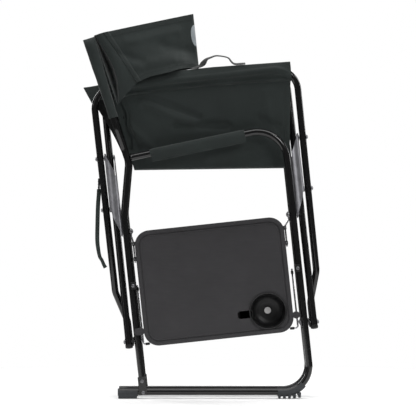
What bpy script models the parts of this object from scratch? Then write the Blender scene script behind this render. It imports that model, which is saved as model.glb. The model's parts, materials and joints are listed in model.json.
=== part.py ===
"""Folding camp chair with a hinged side table, modelled folded and standing on its foot rails.

Metres, +Z up, +X to the sitter's front, +Y to the sitter's left. The side table is on the
right side. Two side frames are joined by two U-shaped tube loops that cross as scissors.
Scissor parts use lean coordinates: p runs forward along the pivot axes, y is across the
chair, and q is the height above the lower pivots, square to the axes.
"""
import math

import bmesh
import bpy
from mathutils import Matrix, Vector

# ---- Driving dimensions -------------------------------------------------------------------
GAP = 0.0004                        # clearance between touching solids
CENTRE_SHIFT = Vector((0.0007, 0.0, 0.0))   # centres the whole over the origin

TUBE_R = 0.008
BOLT_R = 0.0028                     # shank of the pivot bolts
HEAD_R = 0.0052
HEAD = 0.0034                       # thickness of a bolt head or nut
LEAN = math.radians(6.1)            # posts and scissor axes lean back by this angle
PIVOT_Z = 0.1514                    # height of the lower pivot axes at x = 0

FOLD_ANGLE = math.radians(7.6)      # angle of each scissor leg from the lean when folded
OPEN_ANGLE = math.radians(62.1)     # the same angle when the chair stands open
CROSS = 0.317                       # lower pivot to scissor bolt, along a leg
LINK_ON_LEG = 0.4395                # lower pivot to link bolt, along a leg
LOOP_HEIGHT = 0.606                 # lower pivot to seat rail, along a leg
LINK_ON_POST = (2 * CROSS * (LINK_ON_LEG - CROSS) / LINK_ON_LEG
                * (math.cos(OPEN_ANGLE) + math.cos(FOLD_ANGLE)))

POST_REAR, POST_FRONT = -0.152, 0.243   # p of the two posts of a side frame
LAYER = 0.0215                          # spacing of post, inner leg and outer leg
LOOP_BEND = 0.052
HALF_SPREAD = CROSS * math.sin(FOLD_ANGLE)
RAIL_Y = (LOOP_HEIGHT - CROSS) * math.sin(FOLD_ANGLE)
RAIL_Q = LOOP_HEIGHT * math.cos(FOLD_ANGLE)

FOOT_RAIL_Z = 0.0153
FOOT_RAIL_REAR_X = -0.195
FOOT_BEND, ARM_BEND = 0.060, 0.070
ARM_REAR = (-0.1739, 0.5652)            # x and z where the armrest meets the rear post
ARM_SLOPE = math.radians(11.7)
ARM_START_X = -0.1655
ARM_SLEEVE_SPAN = (0.055, 0.170, 0.275)  # along the armrest from the rear post
ARM_SLEEVE_R = 0.0092
ARM_SLEEVE_ABOVE, ARM_SLEEVE_BELOW = 0.0100, 0.0180
REAR_POST_START_Z = 0.0249
REAR_POST_BEND_Q = 0.302
REAR_POST_KINK = (-0.173, 0.556)
UPRIGHT_TOP = (-0.2640, 0.8290)
UPRIGHT_OUT = 0.020                     # the uprights stand this far outside the posts

TABLE_P = (-0.135, 0.218)
TABLE_Q = (-0.016, LINK_ON_POST - 0.002)
TABLE_Y = (-0.0141, 0.0059)             # faces of the tray from its hinge line when it hangs
TABLE_CORNER = 0.035
CUP_P, CUP_Q = 0.1600, 0.0376
CUP_R, CUP_DEPTH = 0.0416, 0.044
STRUT_LENGTH = 0.140
STRUT_DROP = 0.1278                     # table hinge to strut hinge, along the post
STRUT_Y = 0.0095                        # strut hinge behind the post's centre plane
WIRE_R = 0.002

CLOTH = 0.0014                          # thickness of the cloth solids
SEAT_SWING = math.radians(7.8)          # hang of a seat half towards the middle
SEAT_SLEEVE_R = 0.0098
SEAT_SLEEVE_DEPTH = 0.033
STRIP = 0.050                           # depth of the inner strip of a seat half
HEM_DEPTH, HEM_SLOPE = 0.2143, 0.094    # folded seat: depth of its lower edge, and how it runs

BACK_SLEEVE_TOP = (-0.2656, 0.8448)
BACK_SLEEVE_LOW = (-0.2068, 0.6580)

BLACK_PAINT = ((0.012, 0.012, 0.013), 0.22, 0.4)
FABRIC = ((0.030, 0.036, 0.034), 0.9, 0.0)
DARK_FABRIC = ((0.014, 0.017, 0.016), 0.95, 0.0)
STRAP_GREEN = ((0.030, 0.045, 0.040), 0.85, 0.0)
CHARCOAL = ((0.052, 0.052, 0.054), 0.55, 0.0)
CUP_BLACK = ((0.012, 0.012, 0.013), 0.5, 0.0)
RUBBER = ((0.060, 0.064, 0.068), 0.8, 0.0)
GREY_STEEL = ((0.150, 0.158, 0.172), 0.4, 0.8)
BRIGHT_STEEL = ((0.560, 0.560, 0.570), 0.25, 1.0)

RIGHT, LEFT = -1, 1


# ---- Helpers ------------------------------------------------------------------------------
def place(p, y, q):
    """World position of a point in lean coordinates."""
    x = p * math.cos(LEAN) - q * math.sin(LEAN)
    z = PIVOT_Z + p * math.sin(LEAN) + q * math.cos(LEAN)
    return Vector((x, y, z)) + CENTRE_SHIFT


def world(x, y, z):
    return Vector((x, y, z)) + CENTRE_SHIFT


def q_at_height(p, z):
    return (z - PIVOT_Z - p * math.sin(LEAN)) / math.cos(LEAN)


AXIS = place(1, 0, 0) - place(0, 0, 0)
LEAN_UP = place(0, 0, 1) - place(0, 0, 0)
ACROSS = Vector((0, 1, 0))


def collection(name):
    made = bpy.data.collections.new(name)
    bpy.context.scene.collection.children.link(made)
    return made


def material(name, look):
    colour, roughness, metallic = look
    made = bpy.data.materials.new(name)
    made.use_nodes = True
    shader = made.node_tree.nodes["Principled BSDF"]
    shader.inputs["Base Color"].default_value = (*colour, 1.0)
    shader.inputs["Roughness"].default_value = roughness
    shader.inputs["Metallic"].default_value = metallic
    made.diffuse_color = (*colour, 1.0)
    return made


def add(name, mesh, look, smooth=True):
    part = bpy.data.objects.new(name, mesh)
    PARTS.objects.link(part)
    mesh.materials.clear()
    mesh.materials.append(material(name, look))
    if smooth:
        mesh.shade_smooth()
        mesh.set_sharp_from_angle(angle=math.radians(35))
    return part


def mesh_from(name, bm):
    bmesh.ops.recalc_face_normals(bm, faces=bm.faces)
    mesh = bpy.data.meshes.new(name)
    bm.to_mesh(mesh)
    bm.free()
    return mesh


def solidify(part, thickness, offset=0.0):
    modifier = part.modifiers.new("Thickness", "SOLIDIFY")
    modifier.thickness = thickness
    modifier.offset = offset
    modifier.use_even_offset = False


def rounded_path(corners, steps=6):
    """Points along a chain of (point, bend radius) corners, each bend a circular arc."""
    points = [corners[0][0]]
    for (before, _), (corner, radius), (after, _) in zip(corners, corners[1:], corners[2:]):
        back = (before - corner).normalized()
        ahead = (after - corner).normalized()
        half = back.angle(ahead) / 2
        centre = corner + (back + ahead).normalized() * (radius / math.sin(half))
        first = corner + back * (radius / math.tan(half)) - centre
        last = corner + ahead * (radius / math.tan(half)) - centre
        turn = first.angle(last)
        axis = first.cross(last).normalized()
        for step in range(steps + 1):
            points.append(centre + Matrix.Rotation(turn * step / steps, 3, axis) @ first)
    points.append(corners[-1][0])
    return points


def rod_curve(name, points, radius, resolution=3):
    curve = bpy.data.curves.new(name, "CURVE")
    curve.dimensions = "3D"
    curve.bevel_depth = radius
    curve.bevel_resolution = resolution
    curve.use_fill_caps = True
    spline = curve.splines.new("POLY")
    spline.points.add(len(points) - 1)
    for target, point in zip(spline.points, points):
        target.co = (*point, 1.0)
    return curve


def rod(name, points, radius, look, resolution=3):
    curve = rod_curve(name, points, radius, resolution)
    part = bpy.data.objects.new(name, curve)
    PARTS.objects.link(part)
    curve.materials.append(material(name, look))
    return part


def rod_mesh(name, points, radius, resolution=3):
    """The mesh of a rod with welded caps, for use in a Boolean."""
    curve = rod_curve(name, points, radius, resolution)
    holder = bpy.data.objects.new(name, curve)
    CUTTERS.objects.link(holder)
    bpy.context.view_layer.update()
    evaluated = holder.evaluated_get(bpy.context.evaluated_depsgraph_get())
    mesh = bpy.data.meshes.new_from_object(evaluated)
    bpy.data.objects.remove(holder)
    bm = bmesh.new()
    bm.from_mesh(mesh)
    bmesh.ops.remove_doubles(bm, verts=bm.verts, dist=0.00001)
    return mesh_from(name, bm)


def turned(name, y, q, sections, look, sides=14):
    """A bolt, screw or washer turned about a pivot axis from (p, radius) steps."""
    bm = bmesh.new()
    rings = []
    for p, radius in sections:
        ring = []
        for step in range(sides):
            angle = 2 * math.pi * step / sides
            spot = place(p, y, q) + ACROSS * radius * math.cos(angle)
            ring.append(bm.verts.new(spot + LEAN_UP * radius * math.sin(angle)))
        rings.append(ring)
    for first, second in zip(rings, rings[1:]):
        for index in range(sides):
            following = (index + 1) % sides
            bm.faces.new((first[index], first[following], second[following], second[index]))
    bm.faces.new(rings[0])
    bm.faces.new(rings[-1])
    return add(name, mesh_from(name, bm), look)


def disc(name, start, direction, length, radius, look, sides=20):
    bm = bmesh.new()
    turn = direction.to_track_quat("Z", "Y").to_matrix().to_4x4()
    middle = start + direction.normalized() * (length / 2)
    bmesh.ops.create_cone(bm, cap_ends=True, segments=sides, radius1=radius,
                          radius2=radius, depth=length,
                          matrix=Matrix.Translation(middle) @ turn)
    return add(name, mesh_from(name, bm), look)


def drill(part, p, y, q, reach=0.02, radius=None):
    """A clearance hole for a bolt along a pivot axis."""
    radius = radius or BOLT_R + GAP
    bm = bmesh.new()
    turn = AXIS.to_track_quat("Z", "Y").to_matrix().to_4x4()
    bmesh.ops.create_cone(bm, cap_ends=True, segments=12, radius1=radius, radius2=radius,
                          depth=2 * reach, matrix=Matrix.Translation(place(p, y, q)) @ turn)
    boolean(part, mesh_from("hole", bm), "DIFFERENCE")


def box_mesh(name, centre, size, turn=Matrix.Identity(3)):
    bm = bmesh.new()
    scale = Matrix.Diagonal((*size, 1.0))
    bmesh.ops.create_cube(bm, size=1.0,
                          matrix=Matrix.Translation(centre) @ turn.to_4x4() @ scale)
    return mesh_from(name, bm)


def cutter(name, mesh):
    made = bpy.data.objects.new(name, mesh)
    CUTTERS.objects.link(made)
    made.hide_render = True
    made.display_type = "WIRE"
    return made


def boolean(part, mesh, operation):
    modifier = part.modifiers.new(operation.title(), "BOOLEAN")
    modifier.operation = operation
    modifier.solver = "EXACT"
    modifier.object = cutter(f"{part.name}_{operation.lower()}_{len(part.modifiers)}", mesh)


def plate(name, outline, thickness, look):
    """A flat sheet from its outline, thickened evenly to both sides."""
    bm = bmesh.new()
    bm.faces.new([bm.verts.new(point) for point in outline])
    part = add(name, mesh_from(name, bm), look, smooth=False)
    solidify(part, thickness)
    return part


def strip_surface(name, rows, look, thickness):
    """A sheet that runs through rows of points, thickened evenly to both sides."""
    bm = bmesh.new()
    grid = [[bm.verts.new(point) for point in row] for row in rows]
    for first, second in zip(grid, grid[1:]):
        for index in range(len(first) - 1):
            bm.faces.new((first[index], first[index + 1], second[index + 1], second[index]))
    part = add(name, mesh_from(name, bm), look)
    solidify(part, thickness)
    return part


# ---- Side frames --------------------------------------------------------------------------
def front_tube_path(y):
    """Foot rail, front post and armrest, bent from one tube."""
    post_low_q = q_at_height(POST_FRONT, FOOT_RAIL_Z)
    low = place(POST_FRONT, y, post_low_q)
    slope = math.tan(ARM_SLOPE)
    height_zero = place(POST_FRONT, y, 0)
    rise = ARM_REAR[1] + (height_zero.x - CENTRE_SHIFT.x - ARM_REAR[0]) * slope - height_zero.z
    top_q = rise / (math.cos(LEAN) + math.sin(LEAN) * slope)
    top = place(POST_FRONT, y, top_q)
    rear_z = ARM_REAR[1] + (ARM_START_X - ARM_REAR[0]) * slope
    return rounded_path([(world(FOOT_RAIL_REAR_X, y, FOOT_RAIL_Z), 0), (low, FOOT_BEND),
                         (top, ARM_BEND), (world(ARM_START_X, y, rear_z), 0)])


def rear_post_path(side):
    """Rear post and upright in one tube, which steps outward above the armrest."""
    y = side * HALF_SPREAD
    start = place(POST_REAR, y, q_at_height(POST_REAR, REAR_POST_START_Z))
    bend = place(POST_REAR, y, REAR_POST_BEND_Q)
    kink = world(REAR_POST_KINK[0], y, REAR_POST_KINK[1])
    top = world(UPRIGHT_TOP[0], y, UPRIGHT_TOP[1])
    step = Vector((0, side * UPRIGHT_OUT, 0))
    low, high = kink.lerp(top, 0.10), kink.lerp(top, 0.30) + step
    return rounded_path([(start, 0), (bend, 0.09), (kink, 0.05), (low, 0.05), (high, 0.05),
                         (top + step, 0)], steps=4)


def rear_foot(name, y):
    """A rubber cap over the rear end of a foot rail, with ribs under it."""
    length = 0.047
    back_x = FOOT_RAIL_REAR_X - 0.003
    start = world(back_x, y, FOOT_RAIL_Z)
    end = world(back_x + length, y, FOOT_RAIL_Z)
    part = add(name, rod_mesh(name, [start, end], 0.0112, 4), RUBBER)
    for index in range(4):
        centre = world(back_x + 0.005 + index * 0.0122, y, 0.0057)
        boolean(part, box_mesh("rib", centre, (0.0076, 0.019, 0.0114)), "UNION")
    inner = [world(FOOT_RAIL_REAR_X - GAP, y, FOOT_RAIL_Z),
             world(back_x + length + 0.01, y, FOOT_RAIL_Z)]
    boolean(part, rod_mesh("bore", inner, TUBE_R + GAP, 4), "DIFFERENCE")
    return part


def front_foot(name, y):
    """A rubber shoe along the front bend of a foot rail, with teeth under it."""
    path = front_tube_path(y)
    covered = [point for point in path[1:8] if point.z < FOOT_RAIL_Z + 0.022]
    rail_start = covered[0] - Vector((0.014, 0, 0))
    part = add(name, rod_mesh(name, [rail_start] + covered, 0.0112, 4), RUBBER)
    first_x = rail_start.x + 0.004
    for index in range(5):
        lift = 0.0019 * max(0, index - 3)
        centre = Vector((first_x + index * 0.0118, y, 0.006 + lift))
        boolean(part, box_mesh("tooth", centre, (0.0074, 0.019, 0.012)), "UNION")
    boolean(part, rod_mesh("bore", path[:9], TUBE_R + GAP, 4), "DIFFERENCE")
    return part


def arm_sleeve(name, y):
    """A padded fabric sleeve that hangs a little below the armrest tube."""
    direction = Vector((math.cos(ARM_SLOPE), 0, math.sin(ARM_SLOPE)))
    up = Vector((-math.sin(ARM_SLOPE), 0, math.cos(ARM_SLOPE)))
    base = world(ARM_REAR[0], y, ARM_REAR[1])
    rows = []
    for along in ARM_SLEEVE_SPAN:
        ring = []
        for step in range(16):
            angle = 2 * math.pi * step / 16
            reach = ARM_SLEEVE_BELOW if math.sin(angle) < 0 else ARM_SLEEVE_ABOVE
            side = ACROSS * ARM_SLEEVE_R * math.cos(angle)
            height = up * reach * math.sin(angle)
            ring.append(base + direction * along + side + height)
        rows.append(ring)
    bm = bmesh.new()
    grid = [[bm.verts.new(point) for point in row] for row in rows]
    for first, second in zip(grid, grid[1:]):
        for index in range(16):
            following = (index + 1) % 16
            bm.faces.new((first[index], first[following], second[following], second[index]))
    part = add(name, mesh_from(name, bm), FABRIC)
    solidify(part, CLOTH)
    return part


def back_sleeve(name, y):
    """The fabric pocket that the top of the upright stands in."""
    top = world(BACK_SLEEVE_TOP[0], y, BACK_SLEEVE_TOP[1])
    low = world(BACK_SLEEVE_LOW[0], y, BACK_SLEEVE_LOW[1])
    down = (low - top).normalized()
    forward = ACROSS.cross(down).normalized()
    bm = bmesh.new()
    grid = []
    for share in (0.0, 0.5, 1.0):
        centre = top.lerp(low, share)
        ring = []
        for step in range(16):
            angle = 2 * math.pi * step / 16
            offset = forward * 0.0135 * math.cos(angle) + ACROSS * 0.0105 * math.sin(angle)
            ring.append(bm.verts.new(centre + offset))
        grid.append(ring)
    for first, second in zip(grid, grid[1:]):
        for index in range(16):
            following = (index + 1) % 16
            bm.faces.new((first[index], first[following], second[following], second[index]))
    part = add(name, mesh_from(name, bm), FABRIC)
    solidify(part, CLOTH)
    return part


def drilled_tube(name, points, holes):
    """A painted tube with bolt holes given as (p, y, q)."""
    part = add(name, rod_mesh(name, points, TUBE_R), BLACK_PAINT)
    for p, y, q in holes:
        drill(part, p, y, q)
    return part


def side_frame(side, word):
    y = side * HALF_SPREAD
    heights = (0.0, LINK_ON_POST)
    drilled_tube(f"{word}_front_tube", front_tube_path(y), [(POST_FRONT, y, q) for q in heights])
    drilled_tube(f"{word}_rear_post", rear_post_path(side), [(POST_REAR, y, q) for q in heights])
    rear_foot(f"{word}_rear_foot", y)
    front_foot(f"{word}_front_foot", y)
    arm_sleeve(f"{word}_arm_sleeve", y)
    back_sleeve(f"{word}_back_sleeve", side * (HALF_SPREAD + UPRIGHT_OUT))

    # The flattened end of the rear post, bolted to the outside of the foot rail.
    foot = place(POST_REAR, y, q_at_height(POST_REAR, FOOT_RAIL_Z))
    tab_y = y + side * (TUBE_R + GAP + 0.001)
    outline = []
    for along, up in ((-0.010, -0.007), (0.010, -0.007), (0.008, 0.036), (-0.008, 0.036)):
        spot = foot + AXIS * along + LEAN_UP * up
        outline.append(Vector((spot.x, tab_y, spot.z)))
    plate(f"{word}_rear_tab", outline, 0.002, BLACK_PAINT)

    # Through bolts: the lower one carries a scissor leg, the upper one a link.
    for end, post, out in (("rear", POST_REAR, -1), ("front", POST_FRONT, 1)):
        skin = TUBE_R + GAP
        start = -skin - HEAD
        leg = LAYER + skin
        lower = [(start, HEAD_R), (-skin, HEAD_R), (-skin, BOLT_R), (skin, BOLT_R),
                 (skin, 0.0065), (LAYER - skin, 0.0065), (LAYER - skin, BOLT_R),
                 (leg, BOLT_R), (leg, HEAD_R), (leg + HEAD, HEAD_R)]
        turned(f"{word}_lower_bolt_{end}", y, 0.0,
               [(post + out * p, radius) for p, radius in lower], GREY_STEEL)
        hanger = 0.008 if side == RIGHT else HEAD
        link_face = skin + 0.0018 + GAP if side == RIGHT else LAYER / 2 + 0.001 + GAP
        upper = [(-skin - hanger, HEAD_R), (-skin - hanger + 0.002, HEAD_R),
                 (-skin - hanger + 0.002, 0.0034), (-skin, 0.0034), (-skin, BOLT_R),
                 (link_face, BOLT_R), (link_face, HEAD_R), (link_face + 0.0016, HEAD_R)]
        turned(f"{word}_link_bolt_{end}", y, LINK_ON_POST,
               [(post + out * p, radius) for p, radius in upper], GREY_STEEL)


# ---- Scissor loops ------------------------------------------------------------------------
def loop_point(start_side, p, along):
    """A point on a loop that stands on the given side and leans to the other one."""
    y = start_side * (CROSS - along) * math.sin(FOLD_ANGLE)
    return place(p, y, along * math.cos(FOLD_ANGLE))


def loop_yq(start_side, along):
    return (start_side * (CROSS - along) * math.sin(FOLD_ANGLE), along * math.cos(FOLD_ANGLE))


def inner_loop():
    rear, front = POST_REAR - LAYER, POST_FRONT + LAYER
    corners = [(loop_point(RIGHT, rear, -0.013), 0),
               (loop_point(RIGHT, rear, LOOP_HEIGHT), LOOP_BEND),
               (loop_point(RIGHT, front, LOOP_HEIGHT), LOOP_BEND),
               (loop_point(RIGHT, front, -0.013), 0)]
    holes = [(p, *loop_yq(RIGHT, along)) for p in (rear, front)
             for along in (0.0, CROSS, LINK_ON_LEG)]
    drilled_tube("inner_loop", rounded_path(corners), holes)


def outer_loop():
    """The wider loop, whose legs step inward above their lower bolts."""
    rear, front = POST_REAR - 2 * LAYER, POST_FRONT + 2 * LAYER
    step_low, step_high = 0.046, 0.118
    corners = [(loop_point(LEFT, rear + LAYER, -0.013), 0),
               (loop_point(LEFT, rear + LAYER, step_low), 0.05),
               (loop_point(LEFT, rear, step_high), 0.05),
               (loop_point(LEFT, rear, LOOP_HEIGHT), LOOP_BEND),
               (loop_point(LEFT, front, LOOP_HEIGHT), LOOP_BEND),
               (loop_point(LEFT, front, step_high), 0.05),
               (loop_point(LEFT, front - LAYER, step_low), 0.05),
               (loop_point(LEFT, front - LAYER, -0.013), 0)]
    holes = [(p, *loop_yq(LEFT, along)) for p in (rear, front)
             for along in (CROSS, LINK_ON_LEG)]
    holes += [(p, *loop_yq(LEFT, 0.0)) for p in (rear + LAYER, front - LAYER)]
    drilled_tube("outer_loop", rounded_path(corners, steps=5), holes)


def loop_bolts():
    """Scissor bolts where the loops cross, and the link bolts on their legs."""
    skin = TUBE_R + GAP
    for end, post, out in (("rear", POST_REAR, -1), ("front", POST_FRONT, 1)):
        leg = LAYER + skin
        cross = [(-skin - HEAD, HEAD_R), (-skin, HEAD_R), (-skin, BOLT_R), (skin, BOLT_R),
                 (skin, 0.0070), (LAYER - skin, 0.0070), (LAYER - skin, BOLT_R),
                 (leg, BOLT_R), (leg, HEAD_R), (leg + HEAD, HEAD_R)]
        inner_p = post + out * LAYER
        turned(f"scissor_bolt_{end}", 0.0, CROSS * math.cos(FOLD_ANGLE),
               [(inner_p + out * p, radius) for p, radius in cross], GREY_STEEL)
        pin = [(-skin - 0.0012, HEAD_R), (-skin, HEAD_R), (-skin, BOLT_R),
               (skin, BOLT_R), (skin, HEAD_R), (skin + HEAD, HEAD_R)]
        for word, side, centre in (("inner", RIGHT, inner_p), ("outer", LEFT,
                                                               inner_p + out * LAYER)):
            turned(f"{word}_leg_bolt_{end}", *loop_yq(side, LINK_ON_LEG),
                   [(centre + out * p, radius) for p, radius in pin], GREY_STEEL)


# ---- Links --------------------------------------------------------------------------------
def link_line(side):
    """Post bolt, leg bolt and the direction across a link on the given side."""
    post = (side * HALF_SPREAD, LINK_ON_POST)
    leg = (side * (LINK_ON_LEG - CROSS) * math.sin(FOLD_ANGLE),
           LINK_ON_LEG * math.cos(FOLD_ANGLE))
    run = Vector((leg[0] - post[0], leg[1] - post[1]))
    length = run.length
    run.normalize()
    outward = Vector((run.y, -run.x))
    if outward.x * side < 0:
        outward = -outward
    return post, run, outward, length


def link_spot(side, p, along, out):
    post, run, outward, _ = link_line(side)
    y = post[0] + run.x * along + outward.x * out
    q = post[1] + run.y * along + outward.y * out
    return place(p, y, q)


def pressed_link(name, post, out):
    """A right-hand link: a Z-shaped pressing from the post across to the outer leg."""
    length = link_line(RIGHT)[3]
    near = post + out * (TUBE_R + GAP + 0.001)
    far = post + out * (2 * LAYER - TUBE_R - 2 * GAP - 0.0012 - 0.001)
    web = 0.0075
    near_flange = [(near, -0.010, -0.007), (near, 0.118, -0.007)]
    near_bend = [(near, -0.010, web), (near, 0.135, web)]
    far_bend = [(far, 0.052, web), (far, length + 0.010, web)]
    far_flange = [(far, 0.070, -0.007), (far, length + 0.010, -0.007)]
    rows = []
    for row in (near_flange, near_bend, far_bend, far_flange):
        rows.append([link_spot(RIGHT, *spot) for spot in row])
    part = strip_surface(name, rows, GREY_STEEL, 0.0014)
    drill(part, near, -HALF_SPREAD, LINK_ON_POST, reach=0.004)


def flat_link(name, post, out):
    """A left-hand link: a flat bar with round ends between the post and the inner leg."""
    length = link_line(LEFT)[3]
    p = post + out * (LAYER / 2)
    outline = []
    for centre, first in ((length, 0.0), (0.0, math.pi)):
        for step in range(7):
            angle = first + math.pi * step / 6
            along = centre + 0.008 * math.sin(angle)
            outline.append(link_spot(LEFT, p, along, 0.008 * math.cos(angle)))
    part = plate(name, outline, 0.002, GREY_STEEL)
    drill(part, p, HALF_SPREAD, LINK_ON_POST, reach=0.004)


# ---- Seat ---------------------------------------------------------------------------------
SEAT_ENDS = {RIGHT: (-0.1740, 0.2744), LEFT: (-0.2190, 0.2525)}
SEAT_FRONT_SLOPE = {RIGHT: -0.107, LEFT: -0.023}
FOLD_LINE = ((-0.150, 0.034), (-0.118, 0.202))   # (p, depth) ends of the rear fold
SEAT_MIDDLE = (LOOP_HEIGHT - CROSS) * math.sin(OPEN_ANGLE) - 0.0015


def seat_spot(side, p, depth, proud=0.0):
    """A point of a seat half: depth runs down the cloth from the rail's centre."""
    swing = SEAT_SWING
    y = side * (RAIL_Y - depth * math.sin(swing) + proud * math.cos(swing))
    q = RAIL_Q - depth * math.cos(swing) - proud * math.sin(swing)
    return place(p, y, q)


def hem_depth(p):
    """Depth of the folded half's lower edge, which hangs level."""
    return HEM_DEPTH + HEM_SLOPE * p


def fold_p(depth):
    (p0, d0), (p1, d1) = FOLD_LINE
    return p0 + (p1 - p0) * (depth - d0) / (d1 - d0)


def front_p(side, depth):
    return SEAT_ENDS[side][1] + SEAT_FRONT_SLOPE[side] * depth


def seat_half(side, word):
    rear, front = SEAT_ENDS[side]
    profile = [(SEAT_SLEEVE_DEPTH, SEAT_SLEEVE_R)]
    profile += [(-SEAT_SLEEVE_R * math.sin(math.pi * step / 8),
                 SEAT_SLEEVE_R * math.cos(math.pi * step / 8)) for step in range(9)]
    profile += [(SEAT_SLEEVE_DEPTH, -SEAT_SLEEVE_R)]
    rows = []
    for p in (rear, front):
        rows.append([seat_spot(side, p, depth, proud) for depth, proud in profile])
    strip_surface(f"seat_{word}_sleeve", rows, FABRIC, CLOTH)

    top = SEAT_SLEEVE_DEPTH + 0.002
    low_front, low_rear = front_p(side, 0.19), fold_p(0.15)
    outline = [(fold_p(top), top), (front_p(side, top) - 0.012, top),
               (front_p(side, LOOP_BEND), LOOP_BEND),
               (low_front, hem_depth(low_front) - STRIP - 0.001),
               (low_rear, hem_depth(low_rear) - STRIP - 0.001)]
    plate(f"seat_{word}_panel", [seat_spot(side, *spot) for spot in outline], CLOTH, FABRIC)

    low_front, low_rear = front_p(side, 0.235), fold_p(0.205)
    strip = [(low_rear - 0.006, hem_depth(low_rear) - STRIP), (low_front + 0.004,
             hem_depth(low_front) - STRIP), (low_front, hem_depth(low_front)),
             (low_rear, hem_depth(low_rear))]
    plate(f"seat_{word}_middle", [seat_spot(side, *spot) for spot in strip], CLOTH, FABRIC)

    # The rear part of the half, folded forward inside about the fold line.
    (p0, d0), (p1, d1) = FOLD_LINE
    line = Vector((p1 - p0, d1 - d0)).normalized()
    normal = Vector((line.y, -line.x))
    flat = [(fold_p(top), top), (rear, top), (-0.205, SEAT_MIDDLE), (fold_p(SEAT_MIDDLE),
                                                                     SEAT_MIDDLE)]
    folded = []
    for p, depth in flat:
        away = (Vector((p, depth)) - Vector((p0, d0))).dot(normal)
        p, depth = Vector((p, depth)) - 2 * away * normal
        folded.append(seat_spot(side, p, min(depth, hem_depth(p) - 0.003), -0.003))
    plate(f"seat_{word}_rear", folded, CLOTH, FABRIC)


def carry_handle():
    y = -RAIL_Y + 0.004
    route = [(-0.0235, 0.7688), (-0.0070, 0.7765), (0.0024, 0.7865), (0.0106, 0.7978),
             (0.0212, 0.8025), (0.0329, 0.8063), (0.0494, 0.8049), (0.0635, 0.8009),
             (0.0680, 0.7925), (0.0729, 0.7872), (0.0799, 0.7852), (0.1000, 0.7857)]
    rod("carry_handle", [world(x, y, z) for x, z in route], 0.0028, DARK_FABRIC, 2)


# ---- Backrest -----------------------------------------------------------------------------
def back_half(side, word):
    """One half of the backrest cloth, folded forward from its upright."""
    corners = [(-0.2397, 0.058, 0.8590), (-0.0250, 0.0035, 0.9028),
               (-0.0107, 0.0040, 0.7822), (-0.1500, 0.060, 0.7520)]
    outline = [world(x, side * y, z) for x, y, z in corners]
    plate(f"back_{word}_panel", outline, CLOTH, FABRIC)


# ---- Closing strap ------------------------------------------------------------------------
def closing_strap():
    y = 0.004
    route = [(-0.2445, 0.4880), (-0.2468, 0.4524), (-0.2484, 0.3725), (-0.2425, 0.3325),
             (-0.2375, 0.3240), (-0.2331, 0.3137), (-0.2290, 0.3060)]
    rod("closing_strap", [world(x, y, z) for x, z in route], 0.0018, STRAP_GREEN, 2)
    clip_z = 0.505
    clip = box_mesh("strap_clip", world(-0.2445, 0.0035, clip_z), (0.004, 0.014, 0.026))
    part = add("strap_clip", clip, CUP_BLACK, smooth=False)
    bevel = part.modifiers.new("Edge", "BEVEL")
    bevel.width = 0.001
    bevel.segments = 2


# ---- Side table ---------------------------------------------------------------------------
TABLE_HINGE_Y = -HALF_SPREAD


def rounded_box(name, p_range, q_range, y_range, corner):
    """A block with round corners in the plane of the table."""
    corners = [(p_range[1] - corner, q_range[1] - corner, 0),
               (p_range[0] + corner, q_range[1] - corner, 1),
               (p_range[0] + corner, q_range[0] + corner, 2),
               (p_range[1] - corner, q_range[0] + corner, 3)]
    bm = bmesh.new()
    rim = []
    for p, q, quarter in corners:
        for step in range(6):
            angle = math.pi / 2 * (quarter + step / 5)
            rim.append((p + corner * math.cos(angle), q + corner * math.sin(angle)))
    face = bm.faces.new([bm.verts.new(place(p, y_range[0], q)) for p, q in rim])
    moved = bmesh.ops.extrude_face_region(bm, geom=[face])
    shift = Vector((0, y_range[1] - y_range[0], 0))
    moved_verts = [item for item in moved["geom"] if isinstance(item, bmesh.types.BMVert)]
    bmesh.ops.translate(bm, verts=moved_verts, vec=shift)
    return mesh_from(name, bm)


def inset(limits, margin):
    return (limits[0] + margin, limits[1] - margin)


def table():
    outer = (TABLE_HINGE_Y + TABLE_Y[0], TABLE_HINGE_Y + TABLE_Y[1])
    part = add("table_tray", rounded_box("table_tray", TABLE_P, TABLE_Q, outer, TABLE_CORNER),
               CHARCOAL)
    top_pocket = (outer[0] - 0.01, outer[0] + 0.0035)
    boolean(part, rounded_box("top", inset(TABLE_P, 0.009), inset(TABLE_Q, 0.009), top_pocket,
                              0.026), "DIFFERENCE")
    under = (outer[0] + 0.0070, outer[1] + 0.01)
    boolean(part, rounded_box("under", inset(TABLE_P, 0.004), inset(TABLE_Q, 0.004), under,
                              0.031), "DIFFERENCE")
    hole_start = place(CUP_P, outer[0] - 0.02, CUP_Q)
    hole_end = place(CUP_P, outer[1] + 0.02, CUP_Q)
    bm = bmesh.new()
    turn = ACROSS.to_track_quat("Z", "Y").to_matrix().to_4x4()
    bmesh.ops.create_cone(bm, cap_ends=True, segments=32, radius1=CUP_R + 0.0014,
                          radius2=CUP_R + 0.0014, depth=(hole_end - hole_start).length,
                          matrix=Matrix.Translation((hole_start + hole_end) / 2) @ turn)
    boolean(part, mesh_from("cup_hole", bm), "DIFFERENCE")
    slot_centre = place(CUP_P - 0.0545, (outer[0] + outer[1]) / 2, CUP_Q - 0.003)
    turn = Matrix.Rotation(-LEAN, 3, "Y")
    boolean(part, box_mesh("handle_slot", slot_centre, (0.034, 0.060, 0.018), turn),
            "DIFFERENCE")
    cup(outer[0])
    table_wires()
    table_tabs(outer)


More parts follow.
